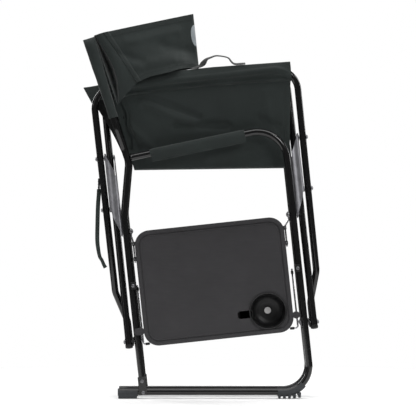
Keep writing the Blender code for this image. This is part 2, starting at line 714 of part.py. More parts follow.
def cup(face_y):
    """A turned bowl with a flange on the tray, and the round drain plate in its floor."""
    profile = [(CUP_R + 0.0030, 0.0020), (CUP_R, 0.0022), (CUP_R - 0.001, 0.0100),
               (CUP_R - 0.004, CUP_DEPTH - 0.006), (CUP_R - 0.010, CUP_DEPTH),
               (0.0040, CUP_DEPTH)]
    bm = bmesh.new()
    turn = Matrix.Rotation(-LEAN, 3, "Y")
    rings = []
    for radius, depth in profile:
        ring = []
        for step in range(32):
            angle = 2 * math.pi * step / 32
            spot = place(CUP_P, face_y + depth, CUP_Q)
            spot += turn @ Vector((radius * math.cos(angle), 0, radius * math.sin(angle)))
            ring.append(bm.verts.new(spot))
        rings.append(ring)
    for first, second in zip(rings, rings[1:]):
        for index in range(32):
            following = (index + 1) % 32
            bm.faces.new((first[index], first[following], second[following], second[index]))
    part = add("cup_holder", mesh_from("cup_holder", bm), CUP_BLACK)
    solidify(part, 0.0014, offset=0.0)
    start = place(CUP_P, face_y + CUP_DEPTH - 0.0012 - GAP, CUP_Q)
    disc("cup_drain", start, -ACROSS, 0.0016, 0.0080, BRIGHT_STEEL)


def table_wires():
    """Wire hangers from the hinge bolts down the side edges of the tray, with their clips."""
    y = TABLE_HINGE_Y
    for name, post, edge, out in (("rear", POST_REAR, TABLE_P[0], -1),
                                  ("front", POST_FRONT, TABLE_P[1], 1)):
        eye = post - out * (TUBE_R + GAP + 0.003)
        edge_p = edge + out * (WIRE_R + 0.0011)
        route = [(eye, LINK_ON_POST - 0.0062), (eye, LINK_ON_POST - 0.012),
                 (edge_p, LINK_ON_POST - 0.026), (edge_p, LINK_ON_POST - 0.075)]
        rod(f"table_wire_{name}", [place(p, y, q) for p, q in route], WIRE_R, BRIGHT_STEEL, 2)


def table_tabs(outer):
    """Finger tabs that stand out from the side edges of the tray."""
    for name, low, high in (("rear", -0.158, TABLE_P[0] - GAP),
                            ("front", TABLE_P[1] + GAP, 0.2335)):
        centre = place((low + high) / 2, outer[0] + 0.0024, 0.0215)
        size = (high - low, 0.0048, 0.019)
        mesh = box_mesh(f"table_tab_{name}", centre, size, Matrix.Rotation(-LEAN, 3, "Y"))
        part = add(f"table_tab_{name}", mesh, CHARCOAL, smooth=False)
        bevel = part.modifiers.new("Edge", "BEVEL")
        bevel.width = 0.0012
        bevel.segments = 2


def struts():
    """Side struts that swing up under the tray, and the clamps that carry them."""
    hinge_q = LINK_ON_POST - STRUT_DROP
    y = TABLE_HINGE_Y + STRUT_Y
    for name, post, edge, out in (("rear", POST_REAR, TABLE_P[0], -1),
                                  ("front", POST_FRONT, TABLE_P[1], 1)):
        face = post - out * (TUBE_R + 0.0025)
        arm = (edge + post - out * TUBE_R) / 2
        end_q = hinge_q - STRUT_LENGTH
        route = [(place(arm, y, hinge_q), 0), (place(arm, y, end_q), 0.005),
                 (place(edge - out * 0.009, y, end_q), 0)]
        rod(f"table_strut_{name}", rounded_path(route, steps=4), WIRE_R, BRIGHT_STEEL, 2)
        turn = Matrix.Rotation(-LEAN, 3, "Y")
        depth = TUBE_R * 2 + 0.006
        centre = place((face + post + out * 0.002) / 2, TABLE_HINGE_Y + 0.0005, hinge_q)
        size = (abs(post + out * 0.002 - face), depth + 0.004, 0.017)
        part = add(f"strut_clamp_{name}", box_mesh(f"strut_clamp_{name}", centre, size, turn),
                   CUP_BLACK, smooth=False)
        bore = [place(post, TABLE_HINGE_Y, hinge_q - 0.03),
                place(post, TABLE_HINGE_Y, hinge_q + 0.03)]
        boolean(part, rod_mesh("bore", bore, TUBE_R + GAP, 4), "DIFFERENCE")
        start = place(post - out * 0.003, TABLE_HINGE_Y - depth / 2 - 0.0015 - GAP, hinge_q)
        disc(f"clamp_screw_{name}", start, -ACROSS, 0.0020, 0.0042, BRIGHT_STEEL)


# ---- Build --------------------------------------------------------------------------------
for existing in list(bpy.data.objects):
    bpy.data.objects.remove(existing)
PARTS = collection("folding_camp_chair")
CUTTERS = collection("cutters")

side_frame(RIGHT, "right")
side_frame(LEFT, "left")
inner_loop()
outer_loop()
loop_bolts()
for end, post_p, outside in (("rear", POST_REAR, -1), ("front", POST_FRONT, 1)):
    pressed_link(f"right_link_{end}", post_p, outside)
    flat_link(f"left_link_{end}", post_p, outside)
for half, half_word in ((RIGHT, "right"), (LEFT, "left")):
    seat_half(half, half_word)
    back_half(half, half_word)
carry_handle()
closing_strap()
table()
struts()
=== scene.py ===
"""Looks of the folding camp chair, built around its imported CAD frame."""
import json
import math

import bmesh
import bpy
from mathutils import Matrix, Vector, noise

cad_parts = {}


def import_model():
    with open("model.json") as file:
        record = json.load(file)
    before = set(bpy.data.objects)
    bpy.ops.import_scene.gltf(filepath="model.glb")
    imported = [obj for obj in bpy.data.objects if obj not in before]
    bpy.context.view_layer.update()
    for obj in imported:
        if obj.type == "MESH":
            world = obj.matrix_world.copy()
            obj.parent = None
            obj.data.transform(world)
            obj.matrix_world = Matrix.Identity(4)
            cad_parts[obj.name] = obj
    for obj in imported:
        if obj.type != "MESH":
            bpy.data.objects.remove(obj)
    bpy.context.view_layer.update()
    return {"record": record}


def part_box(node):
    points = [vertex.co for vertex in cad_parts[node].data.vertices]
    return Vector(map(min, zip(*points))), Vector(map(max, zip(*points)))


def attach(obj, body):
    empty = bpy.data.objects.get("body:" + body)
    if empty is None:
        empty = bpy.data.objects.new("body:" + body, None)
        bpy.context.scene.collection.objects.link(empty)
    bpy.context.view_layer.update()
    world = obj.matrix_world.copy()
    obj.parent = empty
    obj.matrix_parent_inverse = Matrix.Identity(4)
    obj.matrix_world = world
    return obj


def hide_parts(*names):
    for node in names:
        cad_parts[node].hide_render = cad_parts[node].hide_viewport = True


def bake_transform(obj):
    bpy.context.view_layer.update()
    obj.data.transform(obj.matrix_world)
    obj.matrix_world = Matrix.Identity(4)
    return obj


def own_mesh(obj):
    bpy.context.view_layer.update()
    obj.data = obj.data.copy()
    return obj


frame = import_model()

JOINTS = {joint["name"]: joint for joint in frame["record"]["behaviour"]["joints"]}


def joint_spot(name):
    return Vector(JOINTS[name]["pos_m"])


# ---- Places read from the frame -----------------------------------------------------------
U = -Vector(JOINTS["fold"]["axis"])             # forward along the scissor axes
Y = Vector((0, 1, 0))
W = U.cross(Y)                                  # up the legs, square to the axes
BASE = Vector((joint_spot("fold").x, 0, joint_spot("fold").z))
SPREAD = -joint_spot("fold").y                  # half the distance between the side frames
CROSS_Q = (joint_spot("scissor") - BASE).dot(W)
LINK_Q = (joint_spot("right_link_pivot") - BASE).dot(W)
RAIL_Y = -joint_spot("seat_right_swing").y
RAIL_Q = (joint_spot("seat_right_swing") - BASE).dot(W)
SHIFT_X = BASE.x
FOLD = math.atan2(SPREAD, CROSS_Q)
CROSS = math.hypot(SPREAD, CROSS_Q)
LOOP = RAIL_Q / math.cos(FOLD)
OPEN = FOLD + math.radians(JOINTS["fold"]["range_deg"][1])
leg_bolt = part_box("inner_leg_bolt_front")
LINK_ON_LEG = ((Vector(leg_bolt[0]) + Vector(leg_bolt[1])) / 2 - BASE).dot(W) / math.cos(FOLD)
STRUT_Q = (joint_spot("strut_swing") - BASE).dot(W)

# ---- Sizes that the CAD tubes share -------------------------------------------------------
TUBE_R = 0.008
POST_REAR, POST_FRONT = -0.152, 0.243
LAYER = 0.0215
RAIL_Z = 0.0153
ARM_REAR = Vector((-0.1739, 0, 0.5652))
ARM_SLOPE = math.radians(11.7)
UPRIGHT_OUT = 0.020
RIGHT, LEFT = -1, 1
SIDES = ((RIGHT, "right"), (LEFT, "left"))
ENDS = (("rear", POST_REAR, -1), ("front", POST_FRONT, 1))   # word, post and outward way


def place(p, y, q):
    """World position of a point in the lean coordinates of the scissors."""
    return BASE + U * p + Y * y + W * q


def world(x, y, z):
    return Vector((x + SHIFT_X, y, z))


# ---- Materials ----------------------------------------------------------------------------
class Nodes:
    """Small helper around one material's node tree."""

    def __init__(self, name):
        self.material = bpy.data.materials.new(name)
        self.material.use_nodes = True
        self.tree = self.material.node_tree
        self.shader = self.tree.nodes["Principled BSDF"]

    def set(self, **values):
        for key, value in values.items():
            self.shader.inputs[key.replace("_", " ")].default_value = value
        return self

    def add(self, kind, **inputs):
        node = self.tree.nodes.new(kind)
        for key, value in inputs.items():
            node.inputs[key.replace("_", " ")].default_value = value
        return node

    def link(self, source, target):
        self.tree.links.new(source, target)

    def coordinates(self, kind="Object", scale=(1, 1, 1), turn=(0, 0, 0)):
        source = self.add("ShaderNodeTexCoord")
        mapping = self.add("ShaderNodeMapping", Scale=scale, Rotation=turn)
        self.link(source.outputs[kind], mapping.inputs["Vector"])
        return mapping.outputs["Vector"]

    def noise(self, vector, scale, detail=4.0, roughness=0.55):
        node = self.add("ShaderNodeTexNoise", Scale=scale, Detail=detail,
                        Roughness=roughness)
        self.link(vector, node.inputs["Vector"])
        return node.outputs["Fac"]

    def ramp(self, value, stops):
        node = self.tree.nodes.new("ShaderNodeValToRGB")
        elements = node.color_ramp.elements
        while len(elements) < len(stops):
            elements.new(0.5)
        for element, (position, colour) in zip(elements, stops):
            element.position = position
            element.color = (*colour, 1.0)
        self.link(value, node.inputs["Fac"])
        return node.outputs["Color"]

    def math(self, operation, first, second=None):
        node = self.tree.nodes.new("ShaderNodeMath")
        node.operation = operation
        for socket, value in zip(node.inputs, (first, second)):
            if isinstance(value, (int, float)):
                socket.default_value = value
            elif value is not None:
                self.link(value, socket)
        return node.outputs[0]

    def bump(self, height, strength, distance, normal=None):
        node = self.add("ShaderNodeBump", Strength=strength, Distance=distance)
        self.link(height, node.inputs["Height"])
        if normal is not None:
            self.link(normal, node.inputs["Normal"])
        return node.outputs["Normal"]

    def range(self, value, low, high):
        node = self.add("ShaderNodeMapRange")
        node.inputs["To Min"].default_value = low
        node.inputs["To Max"].default_value = high
        self.link(value, node.inputs["Value"])
        return node.outputs["Result"]

    def mix(self, *weighted):
        """The sum of (value, weight) pairs."""
        parts = [self.math("MULTIPLY", value, weight) for value, weight in weighted]
        total = parts[0]
        for part in parts[1:]:
            total = self.math("ADD", total, part)
        return total

    def surface(self, tone, colour, stops, shine, rough, normal):
        """Colours by tone, with (place, brightness) stops, and roughens by shine."""
        shades = [(at, scaled(colour, factor)) for at, factor in stops]
        for value, target in ((self.ramp(tone, shades), "Base Color"),
                              (self.range(shine, *rough), "Roughness"), (normal, "Normal")):
            self.link(value, self.shader.inputs[target])
        return self.material


def scaled(colour, factor):
    return tuple(min(1.0, channel * factor) for channel in colour)


def woven(name, colour, thread=0.0011, sheen=0.25, folds=0.35):
    """Plain-weave cloth from the UV map, which is in metres."""
    m = Nodes(name).set(Sheen_Weight=sheen, Sheen_Roughness=0.45, Metallic=0.0,
                        Specular_IOR_Level=0.35)
    split = m.add("ShaderNodeSeparateXYZ")
    m.link(m.coordinates("UV"), split.inputs["Vector"])
    pitch = math.pi / thread
    warp = m.math("SINE", m.math("MULTIPLY", split.outputs["X"], pitch))
    weft = m.math("SINE", m.math("MULTIPLY", split.outputs["Y"], pitch))
    weave = m.math("MULTIPLY", warp, weft)
    threads = m.math("ADD", m.math("ABSOLUTE", warp), m.math("ABSOLUTE", weft))
    patches = m.noise(m.coordinates(), 9.0, 5.0)
    slub = m.noise(m.coordinates("UV", (30, 900, 1)), 1.0, 2.0)
    shade = m.mix((weave, 0.10), (patches, 0.65), (slub, 0.35))
    soft = m.bump(m.noise(m.coordinates(), 24.0, 3.0), folds, 0.004)
    normal = m.bump(m.math("ADD", threads, weave), 0.45, 0.0003, soft)
    return m.surface(shade, colour, ((0.28, 0.72), (0.52, 1), (0.80, 1.35)), slub,
                     (0.72, 0.92), normal)


def webbing(name, colour, rib=0.0016):
    """Ribbed woven tape: cross ribs along the UV map's length."""
    m = Nodes(name).set(Sheen_Weight=0.3, Sheen_Roughness=0.4)
    split = m.add("ShaderNodeSeparateXYZ")
    m.link(m.coordinates("UV"), split.inputs["Vector"])
    along = m.math("MULTIPLY", split.outputs["X"], math.tau / rib)
    across = m.math("MULTIPLY", split.outputs["Y"], math.pi / rib)
    herring = m.math("SINE", m.math("ADD", along, m.math("ABSOLUTE", m.math("SINE", across))))
    wear = m.noise(m.coordinates(), 60.0, 4.0)
    tone = m.math("ADD", m.math("MULTIPLY", herring, 0.18), wear)
    return m.surface(tone, colour,
                     ((0.25, 0.6), (0.55, 1), (0.85, 1.5)), wear, (0.68, 0.9),
                     m.bump(herring, 0.6, 0.0004))


def painted(name, colour, rough=(0.16, 0.30)):
    """Powder-coated tube: a glossy coat with orange peel, dust and small scuffs."""
    m = Nodes(name).set(Metallic=0.0, Coat_Weight=0.15, Coat_Roughness=0.08,
                        Specular_IOR_Level=0.5)
    everywhere = m.coordinates()
    dust = m.noise(everywhere, 14.0, 6.0, 0.65)
    scuff = m.noise(m.coordinates("Object", (40, 40, 7)), 9.0, 3.0)
    peel = m.bump(m.noise(everywhere, 700.0, 2.0), 0.12, 0.0002)
    return m.surface(m.math("MULTIPLY", dust, scuff), colour,
                     ((0.20, 0.8), (0.34, 1), (0.52, 2.1)), dust, rough, peel)


def moulded(name, colour, rough=(0.42, 0.60), grain=1500.0, depth=0.25, scuffs=1.25):
    """Moulded plastic or rubber with a spark-eroded grain and faint handling marks."""
    m = Nodes(name).set(Specular_IOR_Level=0.4)
    everywhere = m.coordinates()
    cells = m.add("ShaderNodeTexVoronoi", Scale=grain)
    m.link(everywhere, cells.inputs["Vector"])
    clouds = m.noise(everywhere, 11.0, 6.0, 0.6)
    streaks = m.noise(m.coordinates("Object", (12, 50, 90), (0.2, 0.5, 0.1)), 3.0, 4.0)
    return m.surface(m.mix((clouds, 0.6), (streaks, 0.4)), colour,
                     ((0.30, 0.84), (0.52, 1), (0.78, scuffs)), streaks, rough,
                     m.bump(cells.outputs["Distance"], depth, 0.0003))


def metal(name, colour, rough=(0.22, 0.42), brushed=(2, 90, 2)):
    """Plated steel with fine drawing lines and a little tarnish."""
    m = Nodes(name).set(Metallic=1.0, Specular_IOR_Level=0.5)
    lines = m.noise(m.coordinates("Object", brushed), 14.0, 5.0, 0.7)
    tone = m.mix((lines, 0.5), (m.noise(m.coordinates(), 45.0, 5.0), 0.5))
    return m.surface(tone, colour, ((0.30, 0.75), (0.52, 1), (0.75, 1.3)), tone, rough,
                     m.bump(lines, 0.15, 0.0003))


CLOTH_DARK = (0.0218, 0.0288, 0.0272)
MATERIALS = {
    "fabric": woven("woven_polyester", CLOTH_DARK),
    "thread": webbing("stitch_thread", (0.020, 0.024, 0.023), rib=0.0008),
    # Cloth for the pleats: the coated reverse side, darker than the face, and darkened further to
    # near black as painted shade of the deep folds.
    "pleat_painted_shade": woven("pleat_cloth_painted_shade", (0.0036, 0.0042, 0.0041), sheen=0.02),
    "webbing": webbing("handle_webbing", (0.005, 0.006, 0.006)),
    "strap": webbing("strap_webbing", (0.030, 0.044, 0.040)),
    "tube": painted("black_powder_coat", (0.0060, 0.0060, 0.0062), (0.10, 0.20)),
    "table": moulded("charcoal_plastic", (0.0385, 0.0372, 0.0398)),
    "cup": moulded("black_plastic", (0.0095, 0.0095, 0.0100), rough=(0.35, 0.5)),
    "white": moulded("pale_plastic", (0.94, 0.93, 0.92), rough=(0.35, 0.5)),
    "rubber": moulded("foot_rubber", (0.045, 0.048, 0.052), (0.65, 0.85), 900.0, 0.4, 1.5),
    "plate": metal("grey_pressed_steel", (0.34, 0.34, 0.36), (0.38, 0.55)),
    "bolt": metal("zinc_bolt", (0.22, 0.22, 0.23), (0.3, 0.5), (30, 30, 30)),
    "wire": metal("bright_wire", (0.60, 0.60, 0.62), (0.16, 0.3), (60, 60, 4)),
    "patch": woven("plain_patch", (0.36, 0.40, 0.42), thread=0.0007),
}


# ---- Making pieces ------------------------------------------------------------------------
def finish_piece(piece, look, body, nodes=()):
    """Paints a new piece, makes it ride and lets it stand for its CAD nodes."""
    piece.data.materials.clear()
    piece.data.materials.append(MATERIALS[look])
    piece.data.shade_smooth()
    piece.data.set_sharp_from_angle(angle=math.radians(42))
    if body:
        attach(piece, body)
    if nodes:
        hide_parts(*nodes)
    return piece


def new_object(name, data):
    made = bpy.data.objects.new(name, data)
    bpy.context.scene.collection.objects.link(made)
    return made


def mesh_object(name, bm, closed=True):
    if closed:
        bmesh.ops.recalc_face_normals(bm, faces=bm.faces)
    mesh = bpy.data.meshes.new(name)
    bm.to_mesh(mesh)
    bm.free()
    return new_object(name, mesh)


def bevel(piece, width, segments=2, angle=35):
    modifier = piece.modifiers.new("Edge", "BEVEL")
    modifier.width = width
    modifier.segments = segments
    modifier.angle_limit = math.radians(angle)
    modifier.harden_normals = False
    return piece


def rounded_path(corners, steps=16):
    """Points along a chain of (point, bend radius) corners, each bend a circular arc."""
    points = [corners[0][0]]
    for (before, _), (corner, radius), (after, _) in zip(corners, corners[1:], corners[2:]):
        back = (before - corner).normalized()
        ahead = (after - corner).normalized()
        half = back.angle(ahead) / 2
        centre = corner + (back + ahead).normalized() * (radius / math.sin(half))
        first = corner + back * (radius / math.tan(half)) - centre
        last = corner + ahead * (radius / math.tan(half)) - centre
        axis = first.cross(last).normalized()
        for step in range(steps + 1):
            turn = Matrix.Rotation(first.angle(last) * step / steps, 3, axis)
            points.append(centre + turn @ first)
    points.append(corners[-1][0])
    return points


def smooth_path(points, steps=6):
    """A Catmull-Rom curve through given points."""
    padded = [2 * points[0] - points[1]] + list(points) + [2 * points[-1] - points[-2]]
    path = []
    for a, b, c, d in zip(padded, padded[1:], padded[2:], padded[3:]):
        for step in range(steps):
            t = step / steps
            path.append(0.5 * ((2 * b) + (c - a) * t + (2 * a - 5 * b + 4 * c - d) * t * t
                               + (3 * b - a - 3 * c + d) * t ** 3))
    path.append(points[-1])
    return path


def path_length(path):
    return sum((b - a).length for a, b in zip(path, path[1:]))


def skin(bm, rings, caps=True, closed=False):
    """Adds a surface through rings of points, and returns the faces between them."""
    rows = [[bm.verts.new(point) for point in ring] for ring in rings]
    faces = []
    for first, second in zip(rows, rows[1:] + (rows[:1] if closed else [])):
        for s in range(len(first)):
            following = (s + 1) % len(first)
            faces.append(bm.faces.new((first[s], first[following], second[following],
                                       second[s])))
    if caps:
        bm.faces.new(rows[0])
        bm.faces.new(rows[-1])
    return faces


def unwrap(bm, faces, count, uv):
    """Gives the faces between rings of count points their UVs, from uv(row, column)."""
    layer = bm.loops.layers.uv.active
    for index, face in enumerate(faces):
        row, column = divmod(index, count)
        corners = ((row, column), (row, column + 1), (row + 1, column + 1), (row + 1, column))
        for loop, corner in zip(face.loops, corners):
            loop[layer].uv = uv(*corner)


def rings_mesh(name, rings, caps=True):
    """A surface through rings of points, with a UV map in metres."""
    bm = bmesh.new()
    bm.loops.layers.uv.new("UVMap")
    count = len(rings[0])
    along, around = [0.0], [0.0]
    for first, second in zip(rings, rings[1:]):
        along.append(along[-1] + (second[count // 2] - first[count // 2]).length)
    widest = max(rings, key=path_length)
    for index in range(count):
        around.append(around[-1] + (widest[(index + 1) % count] - widest[index]).length)
    unwrap(bm, skin(bm, rings, caps), count, lambda row, column: (along[row], around[column]))
    return mesh_object(name, bm)


def circle(centre, side, normal, radius, sides):
    """Points round a circle that lies in the plane of two directions."""
    angles = [math.tau * step / sides for step in range(sides)]
    return [centre + side * radius * math.cos(a) + normal * radius * math.sin(a)
            for a in angles]


def turned(start, axis, profile, sides):
    """Rings of a turned shape, from (distance along the axis, radius) pairs."""
    axis = axis.normalized()
    side = Y if abs(axis.dot(Y)) < 0.9 else W
    side = (side - axis * side.dot(axis)).normalized()
    return [circle(start + axis * along, side, axis.cross(side), radius, sides)
            for along, radius in profile]


def frames_along(path, up=None):
    """A tangent, side and normal at each point of a path, without twist."""
    frames = []
    side = None
    for index, point in enumerate(path):
        ahead = path[min(index + 1, len(path) - 1)] - path[max(index - 1, 0)]
        tangent = ahead.normalized()
        if side is None:
            start = up if up is not None else (Y if abs(tangent.dot(Y)) < 0.9 else W)
            side = (start - tangent * start.dot(tangent)).normalized()
        side = (side - tangent * side.dot(tangent)).normalized()
        frames.append((point, tangent, side, tangent.cross(side)))
    return frames


def tube(name, path, radius, look, body, nodes=(), sides=24, round_ends=0.0):
    """A swept round tube; its ends can be rounded over."""
    rings = []
    frames = frames_along(path)
    for index, (point, tangent, side, normal) in enumerate(frames):
        ends = [(0.0, radius)]
        if round_ends and index in (0, len(frames) - 1):
            sign = 1 if index == 0 else -1
            ends = [(sign * round_ends * (1 - math.sin(a)), radius - round_ends
                     * (1 - math.cos(a))) for a in (math.pi / 2, math.pi / 4, 0.0)][::sign]
        rings += [circle(point + tangent * shift, side, normal, r, sides) for shift, r in ends]
    return finish_piece(rings_mesh(name, rings), look, body, nodes)


TAPE_SECTION = [(-1, -0.6), (-0.86, -1), (0, -1.1), (0.86, -1), (1, -0.6)]
TAPE_SECTION += [(-x, -z) for x, z in TAPE_SECTION]


def tape(name, path, width, thick, twist, look, body, nodes):
    """Flat webbing along a path, turned about it by twist(share of the path)."""
    rings = []
    for index, (point, _, side, normal) in enumerate(frames_along(path, Y)):
        angle = twist(index / (len(path) - 1))
        across = side * math.cos(angle) + normal * math.sin(angle)
        up = normal * math.cos(angle) - side * math.sin(angle)
        rings.append([point + across * sx * width / 2 + up * sz * thick / 2
                      for sx, sz in TAPE_SECTION])
    return finish_piece(rings_mesh(name, rings), look, body, nodes)


def lathe(name, start, axis, profile, look, body, nodes=(), sides=32):
    """A turned piece: (distance along the axis, radius) pairs from one end to the other."""
    piece = rings_mesh(name, turned(start, axis, profile, sides))
    return finish_piece(piece, look, body, nodes)


def revolve(bm, start, axis, profile, sides=28):
    """Adds a closed turned shell to a mesh."""
    skin(bm, turned(start, axis, profile, sides))


def add_box(bm, centre, size, turn=Matrix.Identity(3)):
    """Adds a box, turned about its centre, and returns its vertices."""
    where = Matrix.Translation(centre) @ turn.to_4x4() @ Matrix.Diagonal((*size, 1.0))
    return bmesh.ops.create_cube(bm, size=1.0, matrix=where)["verts"]


def block(name, centre, size, turn, look, body, nodes=(), edge=0.001, segments=3):
    """A box with rounded edges."""
    bm = bmesh.new()
    add_box(bm, centre, size, turn)
    return finish_piece(bevel(mesh_object(name, bm), edge, segments), look, body, nodes)


LEAN_TURN = Matrix((U, Y, W)).transposed()


def cut(piece, other):
    """Takes the other object's volume out of a piece, and removes the other object."""
    modifier = piece.modifiers.new("Cut", "BOOLEAN")
    modifier.operation = "DIFFERENCE"
    modifier.solver = "EXACT"
    modifier.object = other
    bpy.context.view_layer.update()
    graph = bpy.context.evaluated_depsgraph_get()
    mesh = bpy.data.meshes.new_from_object(piece.evaluated_get(graph))
    piece.modifiers.clear()
    old, piece.data = piece.data, mesh
    bpy.data.meshes.remove(old)
    bpy.data.objects.remove(other)


# ---- Stage, lights and camera -------------------------------------------------------------
CAMERA_DISTANCE = 6.0
SENSOR = 36.0
VIEW_WIDTH, VIEW_PLANE = 0.9776, 0.05           # what the view spans, this far in front of y = 0
VIEW_CENTRE = Vector((0.0148, 0.0, 0.4477))
FLOOR_R = 1.15
ROOM_LIGHT = 0.12                               # the room behind the softboxes


def stage():
    """A pale floor, and a studio that is white to the camera and dim to the chair."""
    bm = bmesh.new()
    bmesh.ops.create_circle(bm, cap_ends=True, segments=96, radius=FLOOR_R,
                            matrix=Matrix.Translation((0, 0, -0.0005)))
    floor = mesh_object("floor", bm, closed=False)
    m = Nodes("pale_floor").set(Roughness=0.9, Specular_IOR_Level=0.1)
    m.link(m.ramp(m.noise(m.coordinates(), 0.6), [(0.3, (0.95, 0.95, 0.95)),
                                                (0.7, (0.97, 0.97, 0.97))]),
           m.shader.inputs["Base Color"])
    floor.data.materials.append(m.material)

    sky = bpy.data.worlds.new("studio")
    sky.use_nodes = True
    nodes, links = sky.node_tree.nodes, sky.node_tree.links
    background = nodes["Background"]
    background.inputs["Color"].default_value = (1.0, 1.0, 1.0, 1.0)
    seen = nodes.new("ShaderNodeLightPath")
    strength = nodes.new("ShaderNodeMapRange")
    strength.inputs["To Min"].default_value = ROOM_LIGHT
    strength.inputs["To Max"].default_value = 1.0
    links.new(seen.outputs["Is Camera Ray"], strength.inputs["Value"])
    links.new(strength.outputs["Result"], background.inputs["Strength"])
    bpy.context.scene.world = sky
    bpy.context.scene.view_settings.view_transform = "Standard"


def area_light(name, spot, target, size, power):
    light = bpy.data.lights.new(name, "AREA")
    light.shape = "RECTANGLE"
    light.size, light.size_y = size
    light.energy = power
    made = new_object(name, light)
    made.location = spot
    direction = Vector(target) - Vector(spot)
    made.rotation_euler = direction.to_track_quat("-Z", "Y").to_euler()


def camera():
    data = bpy.data.cameras.new("camera")
    data.sensor_width = SENSOR
    data.lens = SENSOR * (CAMERA_DISTANCE - VIEW_PLANE) / VIEW_WIDTH
    made = new_object("camera", data)
    made.location = VIEW_CENTRE - Y * CAMERA_DISTANCE
    made.rotation_euler = (math.pi / 2, 0, 0)
    bpy.context.scene.camera = made


def lights():
    middle = (0, 0, 0.45)
    area_light("key", (1.9, -2.6, 2.4), middle, (1.0, 1.0), 30)
    area_light("fill", (-2.6, -1.8, 1.4), middle, (0.6, 2.0), 5)
    area_light("rim_left", (-2.0, 2.0, 1.6), middle, (0.6, 1.8), 24)
    area_light("rim_right", (2.4, 1.2, 1.6), middle, (0.6, 1.8), 24)
    area_light("top", (0, 0, 3.4), middle, (4.5, 4.5), 160)


# ---- Frame tubes --------------------------------------------------------------------------
FOOT_RAIL_REAR_X = -0.195
FOOT_BEND, ARM_BEND = 0.060, 0.070
ARM_START_X = -0.1655
REAR_POST_START_Z = 0.0249
REAR_POST_BEND_Q = 0.302
REAR_POST_KINK = (-0.173, 0.556)
UPRIGHT_TOP = (-0.2640, 0.8290)
GRIP_R = 0.0112                                 # outside of the rubber feet


def q_at_height(p, z):
    return (z - BASE.z - p * U.z) / W.z


def front_tube_path(y):
    """Foot rail, front post and armrest, bent from one tube."""
    low = place(POST_FRONT, y, q_at_height(POST_FRONT, RAIL_Z))
    slope = math.tan(ARM_SLOPE)
    foot = place(POST_FRONT, y, 0)
    rise = ARM_REAR.z + (foot.x - SHIFT_X - ARM_REAR.x) * slope - foot.z
    top = place(POST_FRONT, y, rise / (W.z - W.x * slope))
    rear_z = ARM_REAR.z + (ARM_START_X - ARM_REAR.x) * slope
    return rounded_path([(world(FOOT_RAIL_REAR_X, y, RAIL_Z), 0), (low, FOOT_BEND),
                         (top, ARM_BEND), (world(ARM_START_X, y, rear_z), 0)], 28)


def rear_post_path(side):
    """Rear post and upright in one tube, which steps outward above the armrest."""
    y = side * SPREAD
    start = place(POST_REAR, y, q_at_height(POST_REAR, REAR_POST_START_Z))
    bend = place(POST_REAR, y, REAR_POST_BEND_Q)
    kink = world(REAR_POST_KINK[0], y, REAR_POST_KINK[1])
    top = world(UPRIGHT_TOP[0], y, UPRIGHT_TOP[1])
    step = Y * side * UPRIGHT_OUT
    low, high = kink.lerp(top, 0.10), kink.lerp(top, 0.30) + step
    return rounded_path([(start, 0), (bend, 0.09), (kink, 0.05), (low, 0.05), (high, 0.05),
                         (top + step, 0)], 12)


def loop_point(start_side, p, along):
    """A point on a loop that stands on the given side and leans to the other one."""
    return place(p, start_side * (CROSS - along) * math.sin(FOLD), along * math.cos(FOLD))


LOOP_BEND, LEG_END = 0.052, -0.013
STEP_LOW, STEP_HIGH = 0.046, 0.118


def inner_loop_path():
    rear, front = POST_REAR - LAYER, POST_FRONT + LAYER
    return rounded_path([(loop_point(RIGHT, rear, LEG_END), 0),
                         (loop_point(RIGHT, rear, LOOP), LOOP_BEND),
                         (loop_point(RIGHT, front, LOOP), LOOP_BEND),
                         (loop_point(RIGHT, front, LEG_END), 0)], 28)


def outer_loop_path():
    rear, front = POST_REAR - 2 * LAYER, POST_FRONT + 2 * LAYER
    return rounded_path([(loop_point(LEFT, rear + LAYER, LEG_END), 0),
                         (loop_point(LEFT, rear + LAYER, STEP_LOW), 0.05),
                         (loop_point(LEFT, rear, STEP_HIGH), 0.05),
                         (loop_point(LEFT, rear, LOOP), LOOP_BEND),
                         (loop_point(LEFT, front, LOOP), LOOP_BEND),
                         (loop_point(LEFT, front, STEP_HIGH), 0.05),
                         (loop_point(LEFT, front - LAYER, STEP_LOW), 0.05),
                         (loop_point(LEFT, front - LAYER, LEG_END), 0)], 24)


def dome_head(bm, start, axis, radius, height):
    """A domed bolt head whose flat face lies at the start and whose top is height away."""
    steps = [(0.0, radius), (height * 0.25, radius)]
    steps += [(height * (0.25 + 0.75 * math.sin(a)), radius * math.cos(a) * 0.96 + 0.0001)
              for a in (0.35, 0.7, 1.0, 1.3, 1.5)]
    revolve(bm, start, axis, steps)


def hex_nut(bm, start, axis, across, height):
    """A hexagon nut with chamfered corners and the bolt's end standing out of it."""
    radius = across / math.sqrt(3)
    revolve(bm, start, axis, [(0.0, radius * 0.92), (height * 0.14, radius),
                              (height * 0.86, radius), (height, radius * 0.90)], 6)
    revolve(bm, start, axis, [(0.0, radius * 0.5), (height * 1.18, radius * 0.5),
                              (height * 1.28, radius * 0.42)], 20)


BOLT_R, HEAD_R, HEAD = 0.0028, 0.0052, 0.0034
WASHER_R, FLAT_WASHER_R, NUT_ACROSS, SPACER_R = 0.0070, 0.0062, 0.0088, 0.0067
SKIN = TUBE_R + 0.0004


